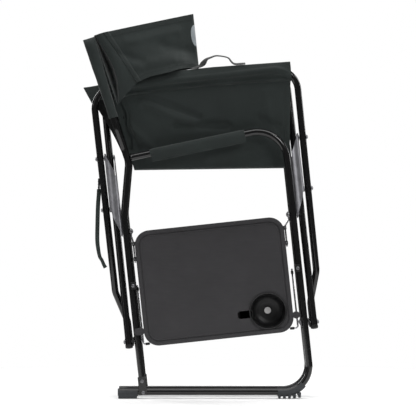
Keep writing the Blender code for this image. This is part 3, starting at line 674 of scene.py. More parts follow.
def bolt(name, body, p, out, y, q, ends, spacer=None, node=None):
    """A through bolt along the scissor axis: dome head, washers, nut and any spacer."""
    bm = bmesh.new()
    head, nut = ends
    axis = U * out
    centre = place(p, y, q)
    revolve(bm, centre, axis, [(head - 0.0002, BOLT_R), (nut + 0.0002, BOLT_R)])
    revolve(bm, centre, axis,
            [(head - 0.0007, WASHER_R - 0.0004), (head - 0.0005, WASHER_R),
             (head - 0.0001, WASHER_R), (head, WASHER_R - 0.0004)])
    dome_head(bm, centre + axis * (head - 0.0007), -axis, HEAD_R, HEAD - 0.0004)
    revolve(bm, centre, axis, [(nut, FLAT_WASHER_R), (nut + 0.0006, FLAT_WASHER_R)])
    hex_nut(bm, centre + axis * (nut + 0.0006), axis, NUT_ACROSS, HEAD - 0.0009)
    piece = mesh_object(name, bm)
    finish_piece(piece, "bolt", body, [node] if node else [])
    if spacer:
        low, high = spacer
        lathe(name + "_spacer", centre, axis,
              [(low, 0.0040), (low, SPACER_R - 0.0005), (low + 0.0006, SPACER_R),
               (high - 0.0006, SPACER_R), (high, SPACER_R - 0.0005), (high, 0.0040)],
              "cup", body)


def leg_plug(name, body, tip, axis):
    """The domed plastic plug in the open end of a scissor leg."""
    lathe(name, tip, axis, [(-0.0060, 0.0084), (-0.0056, 0.0090), (0.0004, 0.0090),
                            (0.0016, 0.0085), (0.0026, 0.0068), (0.0032, 0.0040),
                            (0.0034, 0.0006)], "cup", body)


def weld(name, body, centre, axis, radius):
    """An uneven weld bead round the end of a tube."""
    axis = axis.normalized()
    normal = axis.cross(Y)
    rings, steps = [], 44
    for index in range(steps):
        angle = math.tau * index / steps
        radial = Y * math.cos(angle) + normal * math.sin(angle)
        bead = 0.0014 * (1 + 0.18 * math.sin(index * 2.9) + 0.1 * math.sin(index * 7.1))
        rings.append(circle(centre + radial * radius, radial, axis, bead, 8))
    bm = bmesh.new()
    skin(bm, rings, caps=False, closed=True)
    finish_piece(mesh_object(name, bm), "tube", body)


def side_frame(side, word):
    """Bent tubes of one side, with their rubber, foot strap, rivets and pivot bolts."""
    y, body = side * SPREAD, f"{word}_frame"
    front, rear = front_tube_path(y), rear_post_path(side)
    tube(f"{word}_front_pipe", front, TUBE_R, "tube", body, [f"{word}_front_tube"], 32)
    tube(f"{word}_rear_pipe", rear, TUBE_R, "tube", body, [f"{word}_rear_post"], 32)
    weld(f"{word}_arm_weld", body, front[-1] - Vector((0.0006, 0, 0)),
         front[-1] - front[-2], TUBE_R - 0.0002)
    lathe(f"{word}_upright_plug", rear[-1], rear[-1] - rear[-2],
          [(-0.003, 0.0081), (0.0010, 0.0081), (0.0024, 0.0060), (0.0028, 0.0008)], "cup",
          body)
    rear_rubber(word, y)
    front_rubber(word, y, front)

    foot = place(POST_REAR, y, q_at_height(POST_REAR, RAIL_Z))
    centre = foot + W * 0.0145 + Y * side * (SKIN + 0.001)
    block(f"{word}_foot_strap", centre, (0.0190, 0.0020, 0.0430), LEAN_TURN, "tube", body,
          [f"{word}_rear_tab"], edge=0.0008)
    bm = bmesh.new()
    for up in (-0.0015, 0.0250):
        dome_head(bm, foot + W * up + Y * side * (SKIN + 0.002), Y * side, 0.0042, 0.0022)
    finish_piece(mesh_object(f"{word}_foot_rivets", bm), "bolt", body)

    for end, post, out in ENDS:
        bolt(f"{word}_lower_pivot_{end}", body, post, out, y, 0.0,
             (-SKIN, LAYER + SKIN), (SKIN, LAYER - SKIN), f"{word}_lower_bolt_{end}")
        room = 0.0046 if side == RIGHT else 0.0     # for the eye of the table's hanger wire
        face = SKIN + 0.0022 if side == RIGHT else LAYER / 2 + 0.0014
        bolt(f"{word}_link_pivot_{end}", body, post, out, y, LINK_Q,
             (-SKIN - room, face), (-SKIN - room, -SKIN) if room else None,
             f"{word}_link_bolt_{end}")


def rear_rubber(word, y):
    """Grooved rubber cap on the rear end of a foot rail, with a flat block under it."""
    back = FOOT_RAIL_REAR_X - 0.003
    ridge = [(0.0, 0.0090), (0.0012, 0.0105), (0.0030, GRIP_R)]
    for groove in range(4):
        start = 0.0075 + groove * 0.0100
        ridge += [(start, GRIP_R), (start + 0.0005, GRIP_R - 0.0007),
                  (start + 0.0015, GRIP_R - 0.0007), (start + 0.0020, GRIP_R)]
    ridge += [(0.0450, GRIP_R), (0.0466, 0.0104), (0.0470, TUBE_R + 0.0003)]
    bm = bmesh.new()
    revolve(bm, world(back, y, RAIL_Z), Vector((1, 0, 0)), ridge, 40)
    add_box(bm, world(back + 0.0232, y, 0.0057), (0.0440, 0.0190, 0.0114))
    for vert in bm.verts:
        off = Vector((vert.co.y - y, vert.co.z - RAIL_Z))
        if off.y > 0.0035 and off.length > TUBE_R:
            off *= (TUBE_R - 0.0003) / off.length
            vert.co.y, vert.co.z = y + off.x, RAIL_Z + off.y
    cap = bevel(mesh_object(f"{word}_rear_rubber", bm), 0.0008, 2, 50)
    finish_piece(cap, "rubber", f"{word}_frame", [f"{word}_rear_foot"])


def front_rubber(word, y, rail):
    """Rubber shoe under the front bend of a foot rail, with five treads."""
    bend = [point for point in rail[1:20] if point.z < RAIL_Z + 0.022]
    start = bend[0] - Vector((0.014, 0, 0))
    path = [start, start + Vector((0.002, 0, 0)), start + Vector((0.009, 0, 0))] + bend
    rings = []
    for index, (point, _, across, normal) in enumerate(frames_along(path)):
        grip = GRIP_R - (0.0009 if index in (0, len(path) - 1) else 0.0)
        inward = (bend[0] + Vector((0, 0, FOOT_BEND)) - point).normalized()
        rings.append([point + way * (TUBE_R - 0.0003 if way.dot(inward) > 0.35 else grip)
                      for way in circle(Vector(), across, normal, 1.0, 36)])
    bm = bmesh.new()
    skin(bm, rings)
    for index in range(5):
        centre = Vector((start.x + 0.004 + index * 0.0118, y, 0.006 + 0.0019 * max(0, index - 3)))
        for vert in add_box(bm, centre, (0.0074, 0.0190, 0.0120)):
            if vert.co.z < centre.z:
                vert.co.x += (centre.x - vert.co.x) * 0.22
    shoe = bevel(mesh_object(f"{word}_front_rubber", bm), 0.0008, 2, 50)
    finish_piece(shoe, "rubber", f"{word}_frame", [f"{word}_front_foot"])


def loops():
    """The two scissor loops with their leg plugs, scissor bolts and link bolts."""
    for name, body, path in (("inner_frame_loop", "inner_loop", inner_loop_path()),
                             ("outer_frame_loop", "outer_loop", outer_loop_path())):
        tube(name, path, TUBE_R, "tube", body, [body], 32)
        leg_plug(f"{name}_plug_rear", body, path[0], path[0] - path[1])
        leg_plug(f"{name}_plug_front", body, path[-1], path[-1] - path[-2])
    for end, post, out in ENDS:
        inner_p = post + out * LAYER
        bolt(f"scissor_pivot_{end}", "inner_loop", inner_p, out, 0.0, CROSS_Q,
             (-SKIN, LAYER + SKIN), (SKIN, LAYER - SKIN), f"scissor_bolt_{end}")
        for word, side, centre in (("inner", RIGHT, inner_p),
                                   ("outer", LEFT, inner_p + out * LAYER)):
            spot = (side * (CROSS - LINK_ON_LEG) * math.sin(FOLD),
                    LINK_ON_LEG * math.cos(FOLD))
            bolt(f"{word}_leg_pivot_{end}", f"{word}_loop", centre, out, *spot,
                 (-SKIN - 0.0004, SKIN), None, f"{word}_leg_bolt_{end}")


# ---- Links --------------------------------------------------------------------------------
def link_line(side):
    """Post bolt, run towards the leg bolt and outward direction of a link, in (y, q)."""
    post = Vector((side * SPREAD, LINK_Q))
    leg = Vector((side * (LINK_ON_LEG - CROSS) * math.sin(FOLD),
                  LINK_ON_LEG * math.cos(FOLD)))
    run = (leg - post).normalized()
    outward = Vector((run.y, -run.x))
    return post, run, outward if outward.x * side > 0 else -outward, (leg - post).length


def link_spot(side, p, along, out):
    post, run, outward, _ = link_line(side)
    spot = post + run * along + outward * out
    return place(p, spot.x, spot.y)


WEB_OUT, FLANGE_IN = 0.0075, -0.0070


def pressed_link(end, post, out):
    """A right-hand link: a steel pressing that steps from the post across to the outer leg."""
    length = link_line(RIGHT)[3]
    near = out * (SKIN + 0.001)
    far = out * (2 * LAYER - TUBE_R - 0.0030)
    bend = 0.0030 * out
    outline = [(near, FLANGE_IN, -0.010, 0.116), (near, FLANGE_IN + 0.005, -0.010, 0.120),
               (near, WEB_OUT - 0.0032, -0.010, 0.131),
               (near + bend * 0.25, WEB_OUT - 0.0012, -0.010, 0.133),
               (near + bend, WEB_OUT, -0.008, 0.136)]
    for share in (0.2, 0.35, 0.5, 0.65, 0.8):
        p = near + (far - near) * share
        bead = -0.0016 * math.exp(-((share - 0.5) / 0.16) ** 2)
        outline.append((p, WEB_OUT + bead, -0.008 + 0.058 * share,
                        0.137 + (length + 0.010 - 0.137) * share))
    outline += [(far - bend, WEB_OUT, 0.050, length + 0.009),
                (far - bend * 0.25, WEB_OUT - 0.0012, 0.053, length + 0.010),
                (far, WEB_OUT - 0.0032, 0.056, length + 0.010),
                (far, FLANGE_IN + 0.005, 0.066, length + 0.010),
                (far, FLANGE_IN, 0.070, length + 0.008)]
    rows, columns = len(outline) - 1, 24

    def spot(s, t):
        p, depth, low, high = outline[round(t * rows)]
        return link_spot(RIGHT, post + p, low + (high - low) * s, depth)

    piece = grid_sheet(f"right_link_pressing_{end}", spot, columns, rows, 0.0014,
                       (length, 0.05))
    finish_piece(piece, "plate", "right_links", [f"right_link_{end}"])


def flat_link(end, post, out):
    """A left-hand link: a bar with round ends and a pressed groove."""
    length = link_line(LEFT)[3]
    p = post + out * LAYER / 2
    rows, columns, end_r = 8, 40, 0.008

    def spot(s, t):
        along = -end_r + (length + 2 * end_r) * s
        reach = min(along + end_r, length + end_r - along)
        half = end_r if reach > end_r else math.sqrt(max(0.0, end_r ** 2
                                                         - (end_r - reach) ** 2))
        across = (t * 2 - 1) * half
        middle = min(1.0, max(0.0, (reach - 0.016) / 0.01))
        groove = 0.0009 * math.exp(-(across / 0.003) ** 2) * middle
        return link_spot(LEFT, p + out * groove, along, across)

    piece = grid_sheet(f"left_link_bar_{end}", spot, columns, rows, 0.0020,
                       (length, 2 * end_r))
    finish_piece(piece, "plate", "left_links", [f"left_link_{end}"])


# ---- Cloth --------------------------------------------------------------------------------
def grid_sheet(name, spot, columns, rows, thickness, size):
    """A two-faced sheet through spot(s, t), with a UV map in metres over its flat size."""
    points = [[spot(c / columns, r / rows) for c in range(columns + 1)]
              for r in range(rows + 1)]
    bm = bmesh.new()
    layer = bm.loops.layers.uv.new("UVMap")

    def raised(r, c, sign):
        ahead = points[r][min(c + 1, columns)] - points[r][max(c - 1, 0)]
        down = points[min(r + 1, rows)][c] - points[max(r - 1, 0)][c]
        normal = ahead.cross(down)
        normal = normal.normalized() if normal.length > 1e-12 else Y
        return points[r][c] + normal * sign * thickness / 2

    def add_face(corners):
        face = bm.faces.new([grid[r][c] for grid, r, c in corners])
        for loop, (_, r, c) in zip(face.loops, corners):
            loop[layer].uv = (c / columns * size[0], r / rows * size[1])

    top, under = [[[bm.verts.new(raised(r, c, sign)) for c in range(columns + 1)]
                   for r in range(rows + 1)] for sign in (1, -1)]
    for grid, way in ((top, 1), (under, -1)):
        for r in range(rows):
            for c in range(columns):
                add_face([(grid, r, c), (grid, r, c + 1), (grid, r + 1, c + 1),
                          (grid, r + 1, c)][::way])
    border = [(0, c) for c in range(columns)] + [(r, columns) for r in range(rows)]
    border += [(rows, c) for c in range(columns, 0, -1)] + [(r, 0) for r in range(rows, 0, -1)]
    for here, ahead in zip(border, border[1:] + border[:1]):
        add_face([(top, *ahead), (top, *here), (under, *here), (under, *ahead)])
    return mesh_object(name, bm)


def crease(at, start, end, width, height):
    """Height of a soft fold that runs between two points of a flat cloth."""
    at, start, end = Vector(at), Vector(start), Vector(end)
    run = end - start
    share = (at - start).dot(run) / run.length_squared
    away = (at - start - run * share).length
    beyond = max(0.0, -share, share - 1.0) * run.length
    return height * math.exp(-(away / width) ** 2 - (beyond / width) ** 2)


def wrinkle(at, seed, size=1.0):
    """Fine irregular wrinkles, a fraction of a millimetre high."""
    a, b = at
    broad = noise.noise(Vector((a * 16, b * 16, seed)))
    fine = noise.noise(Vector((a * 55, b * 38, seed + 7.0)))
    return size * (0.0012 * broad + 0.0004 * fine)


def stitches(name, path, body, pitch=0.0034, thread=0.00042):
    """A line of separate stitches that stands a little out of the cloth."""
    lengths = [0.0]
    for first, second in zip(path, path[1:]):
        lengths.append(lengths[-1] + (second - first).length)
    bm = bmesh.new()
    layer = bm.loops.layers.uv.new("UVMap")
    index = 0
    for number in range(int(lengths[-1] / pitch)):
        ends = []
        for share in (0.14, 0.80):
            wanted = (number + share) * pitch
            while index < len(lengths) - 2 and lengths[index + 1] < wanted:
                index += 1
            part = (wanted - lengths[index]) / max(1e-9, lengths[index + 1] - lengths[index])
            ends.append(path[index].lerp(path[index + 1], part))
        tangent = (ends[1] - ends[0]).normalized()
        side = tangent.cross(W if abs(tangent.dot(W)) < 0.8 else U).normalized()
        rings = [circle(ends[0].lerp(ends[1], share), side, tangent.cross(side),
                        thread * size, 5)
                 for share, size in ((0.0, 0.25), (0.2, 0.9), (0.5, 1.1), (0.8, 0.9), (1.0, 0.25))]
        for face in skin(bm, rings):
            for loop in face.loops:
                loop[layer].uv = (loop.vert.co.x, loop.vert.co.z)
    return finish_piece(mesh_object(name, bm), "thread", body)


# ---- Seat ---------------------------------------------------------------------------------
SWING = math.radians(7.8)                       # hang of a seat half towards the middle
SEAT_R = 0.0098
SEAM_DEPTH = 0.0330
SEAT_ENDS = {RIGHT: (-0.1740, 0.2744), LEFT: (-0.2190, 0.2525)}
FRONT_SLOPE = {RIGHT: -0.107, LEFT: -0.023}
FOLD_TOP, FOLD_LOW = (-0.150, 0.045), (-0.118, 0.213)
HEM_DEPTH, HEM_SLOPE = 0.2253, 0.094
RIDGE = 0.011                                   # the cloth stands this far above its rail
STRIP = 0.050                                   # depth of the lowest strip of the seat
SLEEVE_SLANT = 0.42                             # how far the sleeve's rear end slants
FRONT_HEM = 0.0115
CLOTH = 0.0012
SEAT_MIDDLE = (LOOP - CROSS) * math.sin(OPEN) - 0.0015   # rail to the middle seam


def seat_spot(side, p, depth, proud=0.0):
    """A spot on a seat half; depth runs down from a line RIDGE above the rail's middle."""
    depth -= RIDGE
    y = side * (RAIL_Y - depth * math.sin(SWING) + proud * math.cos(SWING))
    return place(p, y, RAIL_Q - depth * math.cos(SWING) - proud * math.sin(SWING))


def hem_depth(p):
    return HEM_DEPTH + HEM_SLOPE * p


def fold_p(depth):
    (p0, d0), (p1, d1) = FOLD_TOP, FOLD_LOW
    return p0 + (p1 - p0) * (depth - d0) / (d1 - d0)


def start_p(depth):
    """Where the flat part of the seat cloth begins, in front of its folds."""
    share = min(1.0, max(0.0, (depth - FOLD_TOP[1]) / (FOLD_LOW[1] - FOLD_TOP[1])))
    return fold_p(depth) + 0.022 - 0.012 * share + 0.0026 * math.sin(depth * 105)


def front_p(side, depth):
    return SEAT_ENDS[side][1] + FRONT_SLOPE[side] * depth


SEAT_FOLDS = [((-0.085, 0.038), (0.046, 0.103), 0.0085, -0.0072),
              ((-0.080, 0.054), (0.030, 0.117), 0.0110, 0.0050),
              ((-0.010, 0.117), (0.110, 0.131), 0.0100, -0.0066),
              ((0.190, 0.121), (0.228, 0.145), 0.0100, -0.0035),
              ((-0.118, 0.109), (-0.075, 0.159), 0.0110, 0.0042),
              ((-0.135, 0.069), (-0.100, 0.184), 0.0060, -0.0048),
              ((0.060, 0.199), (0.180, 0.187), 0.0160, 0.0032),
              ((0.205, 0.059), (0.226, 0.209), 0.0090, 0.0026)]


def rail_drop(side, p):
    """How far the rail has bent down below its straight part, at p."""
    reach = 2 * LAYER if side == RIGHT else LAYER
    past = max(p - (POST_FRONT + reach - LOOP_BEND), POST_REAR - reach + LOOP_BEND - p, 0.0)
    past = min(past, LOOP_BEND * 0.95)
    return RIDGE + LOOP_BEND - math.sqrt(LOOP_BEND ** 2 - past ** 2)


def over_bend(side, p, depth):
    """How far the cloth is pushed out where it passes over a bend of the loop."""
    reach = 2 * LAYER if side == RIGHT else LAYER
    push = 0.0
    for way, end in ((1, POST_FRONT + reach), (-1, POST_REAR - reach)):
        across, down = way * (p - end) + LOOP_BEND, LOOP_BEND + RIDGE - depth
        if across > 0 and down > 0:
            off = abs(math.hypot(across, down) - LOOP_BEND)
            push = max(push, SEAT_R * math.exp(-(off / 0.0085) ** 2))
        elif across > 0:
            push = max(push, SEAT_R * math.exp(-((across - LOOP_BEND) / 0.0085) ** 2))
    return push


def droop(side, p):
    """The cloth of the sleeve hangs lower at both ends, where the rail bends away."""
    rear, front = SEAT_ENDS[side]
    if p > 0:
        return 0.0065 * max(0.0, (p - 0.09) / (front - 0.09))
    reach = 0.082 if side == RIGHT else 0.140
    share = min(1.0, max(0.0, (rear + reach - p) / reach))
    return 0.0115 * share * share * (3 - 2 * share)


def rail_bulge(depth, centre):
    """Outer face of the sleeve, pulled over a rail whose middle is at that depth."""
    over_rail = math.sqrt(max(0.0, SEAT_R ** 2 - (depth - centre) ** 2))
    if depth > centre:
        share = min(1.0, (depth - centre) / max(0.004, 0.0275 - centre))
        line = SEAT_R + (0.0040 - SEAT_R) * share - 0.0014 * math.sin(math.pi * share)
    else:
        share = min(1.0, (centre - depth) / (centre + SEAT_R))
        line = 0.0012 * math.sqrt(1 - share) + (SEAT_R - 0.0012) * (1 - share)
    ridge = 0.0024 * math.exp(-((depth - 0.0302) / 0.0020) ** 2)
    settle = max(0.0, depth - 0.0318) / 0.0024
    return (max(over_rail, line) + ridge) * (1 - min(1.0, settle)) + 0.0018 * min(1.0, settle)


def seat_proud(side, p, depth):
    """How far the seat cloth stands out of its plane."""
    at = (p, depth)
    height = 0.0014 + wrinkle(at, 3.0 * side)
    mirrored = p if side == RIGHT else 0.07 - p
    height += sum(crease((mirrored, depth), *fold) for fold in SEAT_FOLDS)
    height += 0.0030 * math.sin(math.pi * min(1.0, depth / 0.21)) * math.sin(
        math.pi * max(0.0, min(1.0, (p + 0.15) / 0.40)))
    if front_p(side, depth) - p < FRONT_HEM:
        height += 0.0010
    behind = max(0.0, p - start_p(depth))
    if behind < 0.010:
        height -= 0.0185 * (1 - behind / 0.010) ** 2
    return max(height, over_bend(side, p, depth))


def rail_sleeve(side, word):
    """The hem that runs round the seat rail."""
    rear, front = SEAT_ENDS[side]

    def spot(s, t):
        outer = t * 2 - 1
        reach = SEAM_DEPTH + 0.0012 + SEAT_R
        depth = reach * outer ** 2 - SEAT_R
        low = rear + SLEEVE_SLANT * max(0.0, depth + 0.008)
        p = low + (front - 0.04 * max(0.0, depth) - low) * s
        proud = rail_bulge(depth, rail_drop(side, p) - droop(side, p))
        sag = wrinkle((p, depth), 11.0 * side, 1.3) * min(1.0, abs(outer) * 2)
        dip = -0.0011 * math.exp(-((depth - 0.021) / 0.006) ** 2) * (
            1 + math.sin(p * 37 + 1.0))
        if outer > 0:
            proud = max(proud, over_bend(side, p, depth)) + sag + dip
        else:
            proud *= -0.85
        return seat_spot(side, p, depth + droop(side, p), proud)

    size = (front - rear, 0.098)
    sleeve = grid_sheet(f"seat_{word}_rail_sleeve", spot, 150, 76, CLOTH, size)
    finish_piece(sleeve, "fabric", f"seat_{word}", [f"seat_{word}_sleeve"])


def seat_cloth(side, word):
    """The large flat part of a seat half, below the rail sleeve."""
    front = SEAT_ENDS[side][1]

    def drop_at(p, t):
        return SEAM_DEPTH + (hem_depth(p) - STRIP - SEAM_DEPTH) * t

    def spot(s, t):
        depth = drop_at(FOLD_TOP[0] + (front - FOLD_TOP[0]) * s, t)
        low, high = start_p(depth), front_p(side, depth)
        p = low + (high - low) * s
        depth = drop_at(p, t)
        return seat_spot(side, p, depth + droop(side, p) * (1 - t) ** 2,
                         seat_proud(side, p, depth))

    width, drop = front - FOLD_TOP[0], 0.150
    panel = grid_sheet(f"seat_{word}_cloth", spot, 150, 60, CLOTH, (width, drop))
    finish_piece(panel, "fabric", f"seat_{word}", [f"seat_{word}_panel"])


def middle_cloth(side, word):
    """The lowest strip of a seat half, which turns in where the halves meet."""
    def spot(s, t):
        bottom_p = fold_p(0.2) + (front_p(side, 0.22) - fold_p(0.2)) * s
        depth = hem_depth(bottom_p) - STRIP + STRIP * t
        low, high = fold_p(min(depth, FOLD_LOW[1])), front_p(side, depth)
        p = low + (high - low) * s
        depth = hem_depth(p) - STRIP * (1 - t)
        turn_in = max(0.0, t - 0.86) / 0.14
        return seat_spot(side, p, depth - 0.0010 * turn_in ** 2,
                         seat_proud(side, p, depth) * (1 - turn_in) - 0.0060 * turn_in ** 2)

    size = (0.360, STRIP)
    middle = grid_sheet(f"seat_{word}_middle_cloth", spot, 150, 28, CLOTH, size)
    finish_piece(middle, "fabric", None, [f"seat_{word}_middle"])
    seat_spot(side, 0.05, 0.180)
    seat_spot(side, 0.05 - HEM_SLOPE * 0.043, 0.223)
    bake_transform(middle)


def rear_cloth(side, word):
    """The rear of a seat half, folded forward inside about the fold line."""
    rear = SEAT_ENDS[side][0]
    line = Vector((FOLD_LOW[0] - FOLD_TOP[0], FOLD_LOW[1] - FOLD_TOP[1])).normalized()
    square = Vector((line.y, -line.x))
    gap, taper = 0.003, 0.012

    def spot(s, t):
        depth = SEAM_DEPTH + gap + (SEAT_MIDDLE - SEAM_DEPTH - gap) * t
        p = rear + taper * t + (fold_p(depth) - rear - taper * t) * (1 - s)
        away = (Vector((p, depth)) - Vector(FOLD_TOP)).dot(square)
        folded = Vector((p, depth)) - 2 * away * square
        limit = hem_depth(folded.x) - 0.004
        depth = folded.y if folded.y < limit - 0.01 else limit - 0.01 * math.exp(
            -(folded.y - limit + 0.01) / 0.01)
        return seat_spot(side, folded.x, depth,
                         -0.0040 - 0.0015 * s + wrinkle(tuple(folded), 21.0 * side))

    wide = fold_p(SEAT_MIDDLE) - rear - taper
    flat = (wide, SEAT_MIDDLE - SEAM_DEPTH)
    cloth = grid_sheet(f"seat_{word}_rear_cloth", spot, 40, 60, CLOTH, flat)
    finish_piece(cloth, "fabric", f"seat_{word}_rear", [f"seat_{word}_rear"])


def seat_pleats(side, word):
    """The crumpled cloth behind the fold."""
    def spot(s, t):
        top, low = Vector((-0.2000, 0.040)), Vector((-0.1351, 0.199))
        rear_line = top.lerp(low, t) + Vector((0.006, 0)) * math.sin(math.pi * t)
        near = Vector((start_p(rear_line.y) + 0.006, rear_line.y))
        at = near.lerp(rear_line, s)
        waves = math.sin(s * 15.5 + 2.6 * math.sin(t * 5.3) + 1.4)
        waves += 0.45 * math.sin(s * 7.0 - t * 21.0) + 0.30 * math.sin(s * 23.0 + t * 13.0)
        proud = -0.0145 - 0.0030 * s + 0.0068 * waves * math.sin(math.pi * min(
            1.0, s * 1.10 + 0.10)) + 3 * wrinkle(tuple(at), 31.0 * side)
        return seat_spot(side, at.x, at.y, proud)

    size = (0.085, 0.175)
    pleats = grid_sheet(f"seat_{word}_pleats", spot, 48, 64, CLOTH, size)
    # The pleats take the near-black cloth, which is painted shade of the deep folds.
    finish_piece(pleats, "pleat_painted_shade", f"seat_{word}")
    outward = seat_spot(side, 0, 0.1, 0.1) - seat_spot(side, 0, 0.1)
    seat_spot(side, -0.15, 0.1, -0.002)
    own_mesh(pleats)


def seat_stitches(side, word):
    """Double seam under the rail sleeve, and the hem at the front."""
    rear, front = SEAT_ENDS[side]
    seam_low = rear + SLEEVE_SLANT * (0.030 + 0.008)
    for number, depth in enumerate((0.0288, 0.0314)):
        line = []
        for k in range(91):
            p = seam_low + (front - 0.003 - seam_low) * k / 90
            hang = droop(side, p)
            proud = rail_bulge(depth, rail_drop(side, p) - hang) + CLOTH * 0.6
            line.append(seat_spot(side, p, depth + hang, proud))
        stitches(f"seat_{word}_seam_{number}", line, f"seat_{word}")
    edge = []
    for k in range(40):
        depth = 0.046 + (0.185 - 0.046) * k / 39
        p = front_p(side, depth) - 0.0098
        edge.append(seat_spot(side, p, depth, seat_proud(side, p, depth) + CLOTH / 2))
    stitches(f"seat_{word}_front_hem", edge, f"seat_{word}")


def carry_handle():
    """A webbing loop sewn to the top of the right sleeve, with one twist in it."""
    y = -RAIL_Y + 0.004
    route = [(-0.0235, 0.7770), (-0.0070, 0.7810), (0.0024, 0.7880), (0.0106, 0.7978),
             (0.0212, 0.8025), (0.0329, 0.8063), (0.0494, 0.8049), (0.0620, 0.8012),
             (0.0680, 0.7940), (0.0729, 0.7889), (0.0799, 0.7868), (0.0900, 0.7873),
             (0.1020, 0.7882)]
    path = smooth_path([world(x, y, z) for x, z in route], 8)
    width = 0.0190

    def twist(share):
        turn = 0.22 + 0.40 * math.exp(-((share - 0.17) / 0.07) ** 2)
        return turn + 0.06 * math.sin(share * 9)

    strap = tape("handle_webbing", path, width, 0.0016, twist, "webbing", "seat_right",
                 ["carry_handle"])
    round(path_length(path), 3)
    for number, (x, z) in enumerate(((0.0855, 0.7869), (0.0965, 0.7878))):
        line = [world(x, y + dy, z + 0.0010) for dy in (-0.008, 0.008)]
        stitches(f"handle_tack_{number}", line, "seat_right", pitch=0.0026)


# ---- Backrest -----------------------------------------------------------------------------
# Corners are (x, z) and the lower edge is (x, z, distance from the middle plane).
SLEEVE_TOP, SLEEVE_LOW = Vector((-0.2656, 0.8448)), Vector((-0.2068, 0.6580))
SEAM_TOP, SEAM_LOW = Vector((-0.2319, 0.8590)), Vector((-0.1520, 0.7420))
CREASE_TOP = Vector((-0.0212, 0.9075))
LOW_EDGE = smooth_path([Vector(spot) for spot in (
    (-0.1520, 0.7420, 0.0640), (-0.1215, 0.7560, 0.0585), (-0.0816, 0.7655, 0.0518),
    (-0.0580, 0.7730, 0.0440), (-0.0350, 0.7775, 0.0280), (-0.0077, 0.7785, 0.0035))], 24)
BACK_FOLDS = [((-0.195, 0.812), (-0.140, 0.790), 0.0110, -0.0042),
              ((-0.150, 0.785), (-0.050, 0.800), 0.0140, 0.0039),
              ((-0.175, 0.838), (-0.060, 0.866), 0.0120, 0.0030),
              ((-0.090, 0.830), (-0.028, 0.818), 0.0120, -0.0036),
              ((-0.060, 0.795), (-0.020, 0.790), 0.0090, 0.0021)]


def back_spot(side, spot, y):
    return world(spot[0], side * y, spot[1])


def shell_mesh(name, outer, inner, length, girth):
    """A sleeve of cloth from outer and inner rings, with rims at both ends."""
    bm = bmesh.new()
    bm.loops.layers.uv.new("UVMap")
    rows, count = len(outer), len(outer[0])

    def uv(row, column):
        return ((row if row < rows else 2 * rows - 1 - row) / rows * length,
                column / count * girth)

    unwrap(bm, skin(bm, outer + inner[::-1], caps=False, closed=True), count, uv)
    return mesh_object(name, bm)


def upright_pocket(side, word):
    """A flat-sided tube of cloth over the upright, sewn shut at its top."""
    down = (SLEEVE_LOW - SLEEVE_TOP).normalized()
    fore = Vector((-down.y, down.x))
    levels = [(-0.0005, 0.0138, 0.0014), (0.0015, 0.0140, 0.0036), (0.0070, 0.0140, 0.0080),
              (0.016, 0.0140, 0.0100)]
    levels += [(0.016 + 0.0075 * k, 0.0140 - 0.00017 * k, 0.0103) for k in range(1, 24)]
    levels += [(0.1945, 0.0104, 0.0102)]

    def ring(level, less):
        along, half_x, half_y = level
        spots = []
        for step in range(36):
            cx, cy = math.cos(math.tau * step / 36), math.sin(math.tau * step / 36)
            square = (abs(cx) ** 4 + abs(cy) ** 4) ** -0.25
            ruck = wrinkle((along * 2.2, step * 0.02), 41.0 * side, 1.0)
            spot = SLEEVE_TOP + down * along + fore * (half_x - less + ruck) * cx * (
                0.35 + 0.65 * square)
            y = SPREAD + UPRIGHT_OUT + (max(0.0008, half_y - less) + ruck) * cy
            spots.append(back_spot(side, spot, y))
        return spots

    outer, inner = [[ring(level, less) for level in levels] for less in (0.0, CLOTH)]
    pocket = shell_mesh(f"back_{word}_pocket", outer, inner, 0.20, 0.075)
    finish_piece(pocket, "fabric", f"{word}_frame", [f"{word}_back_sleeve"])


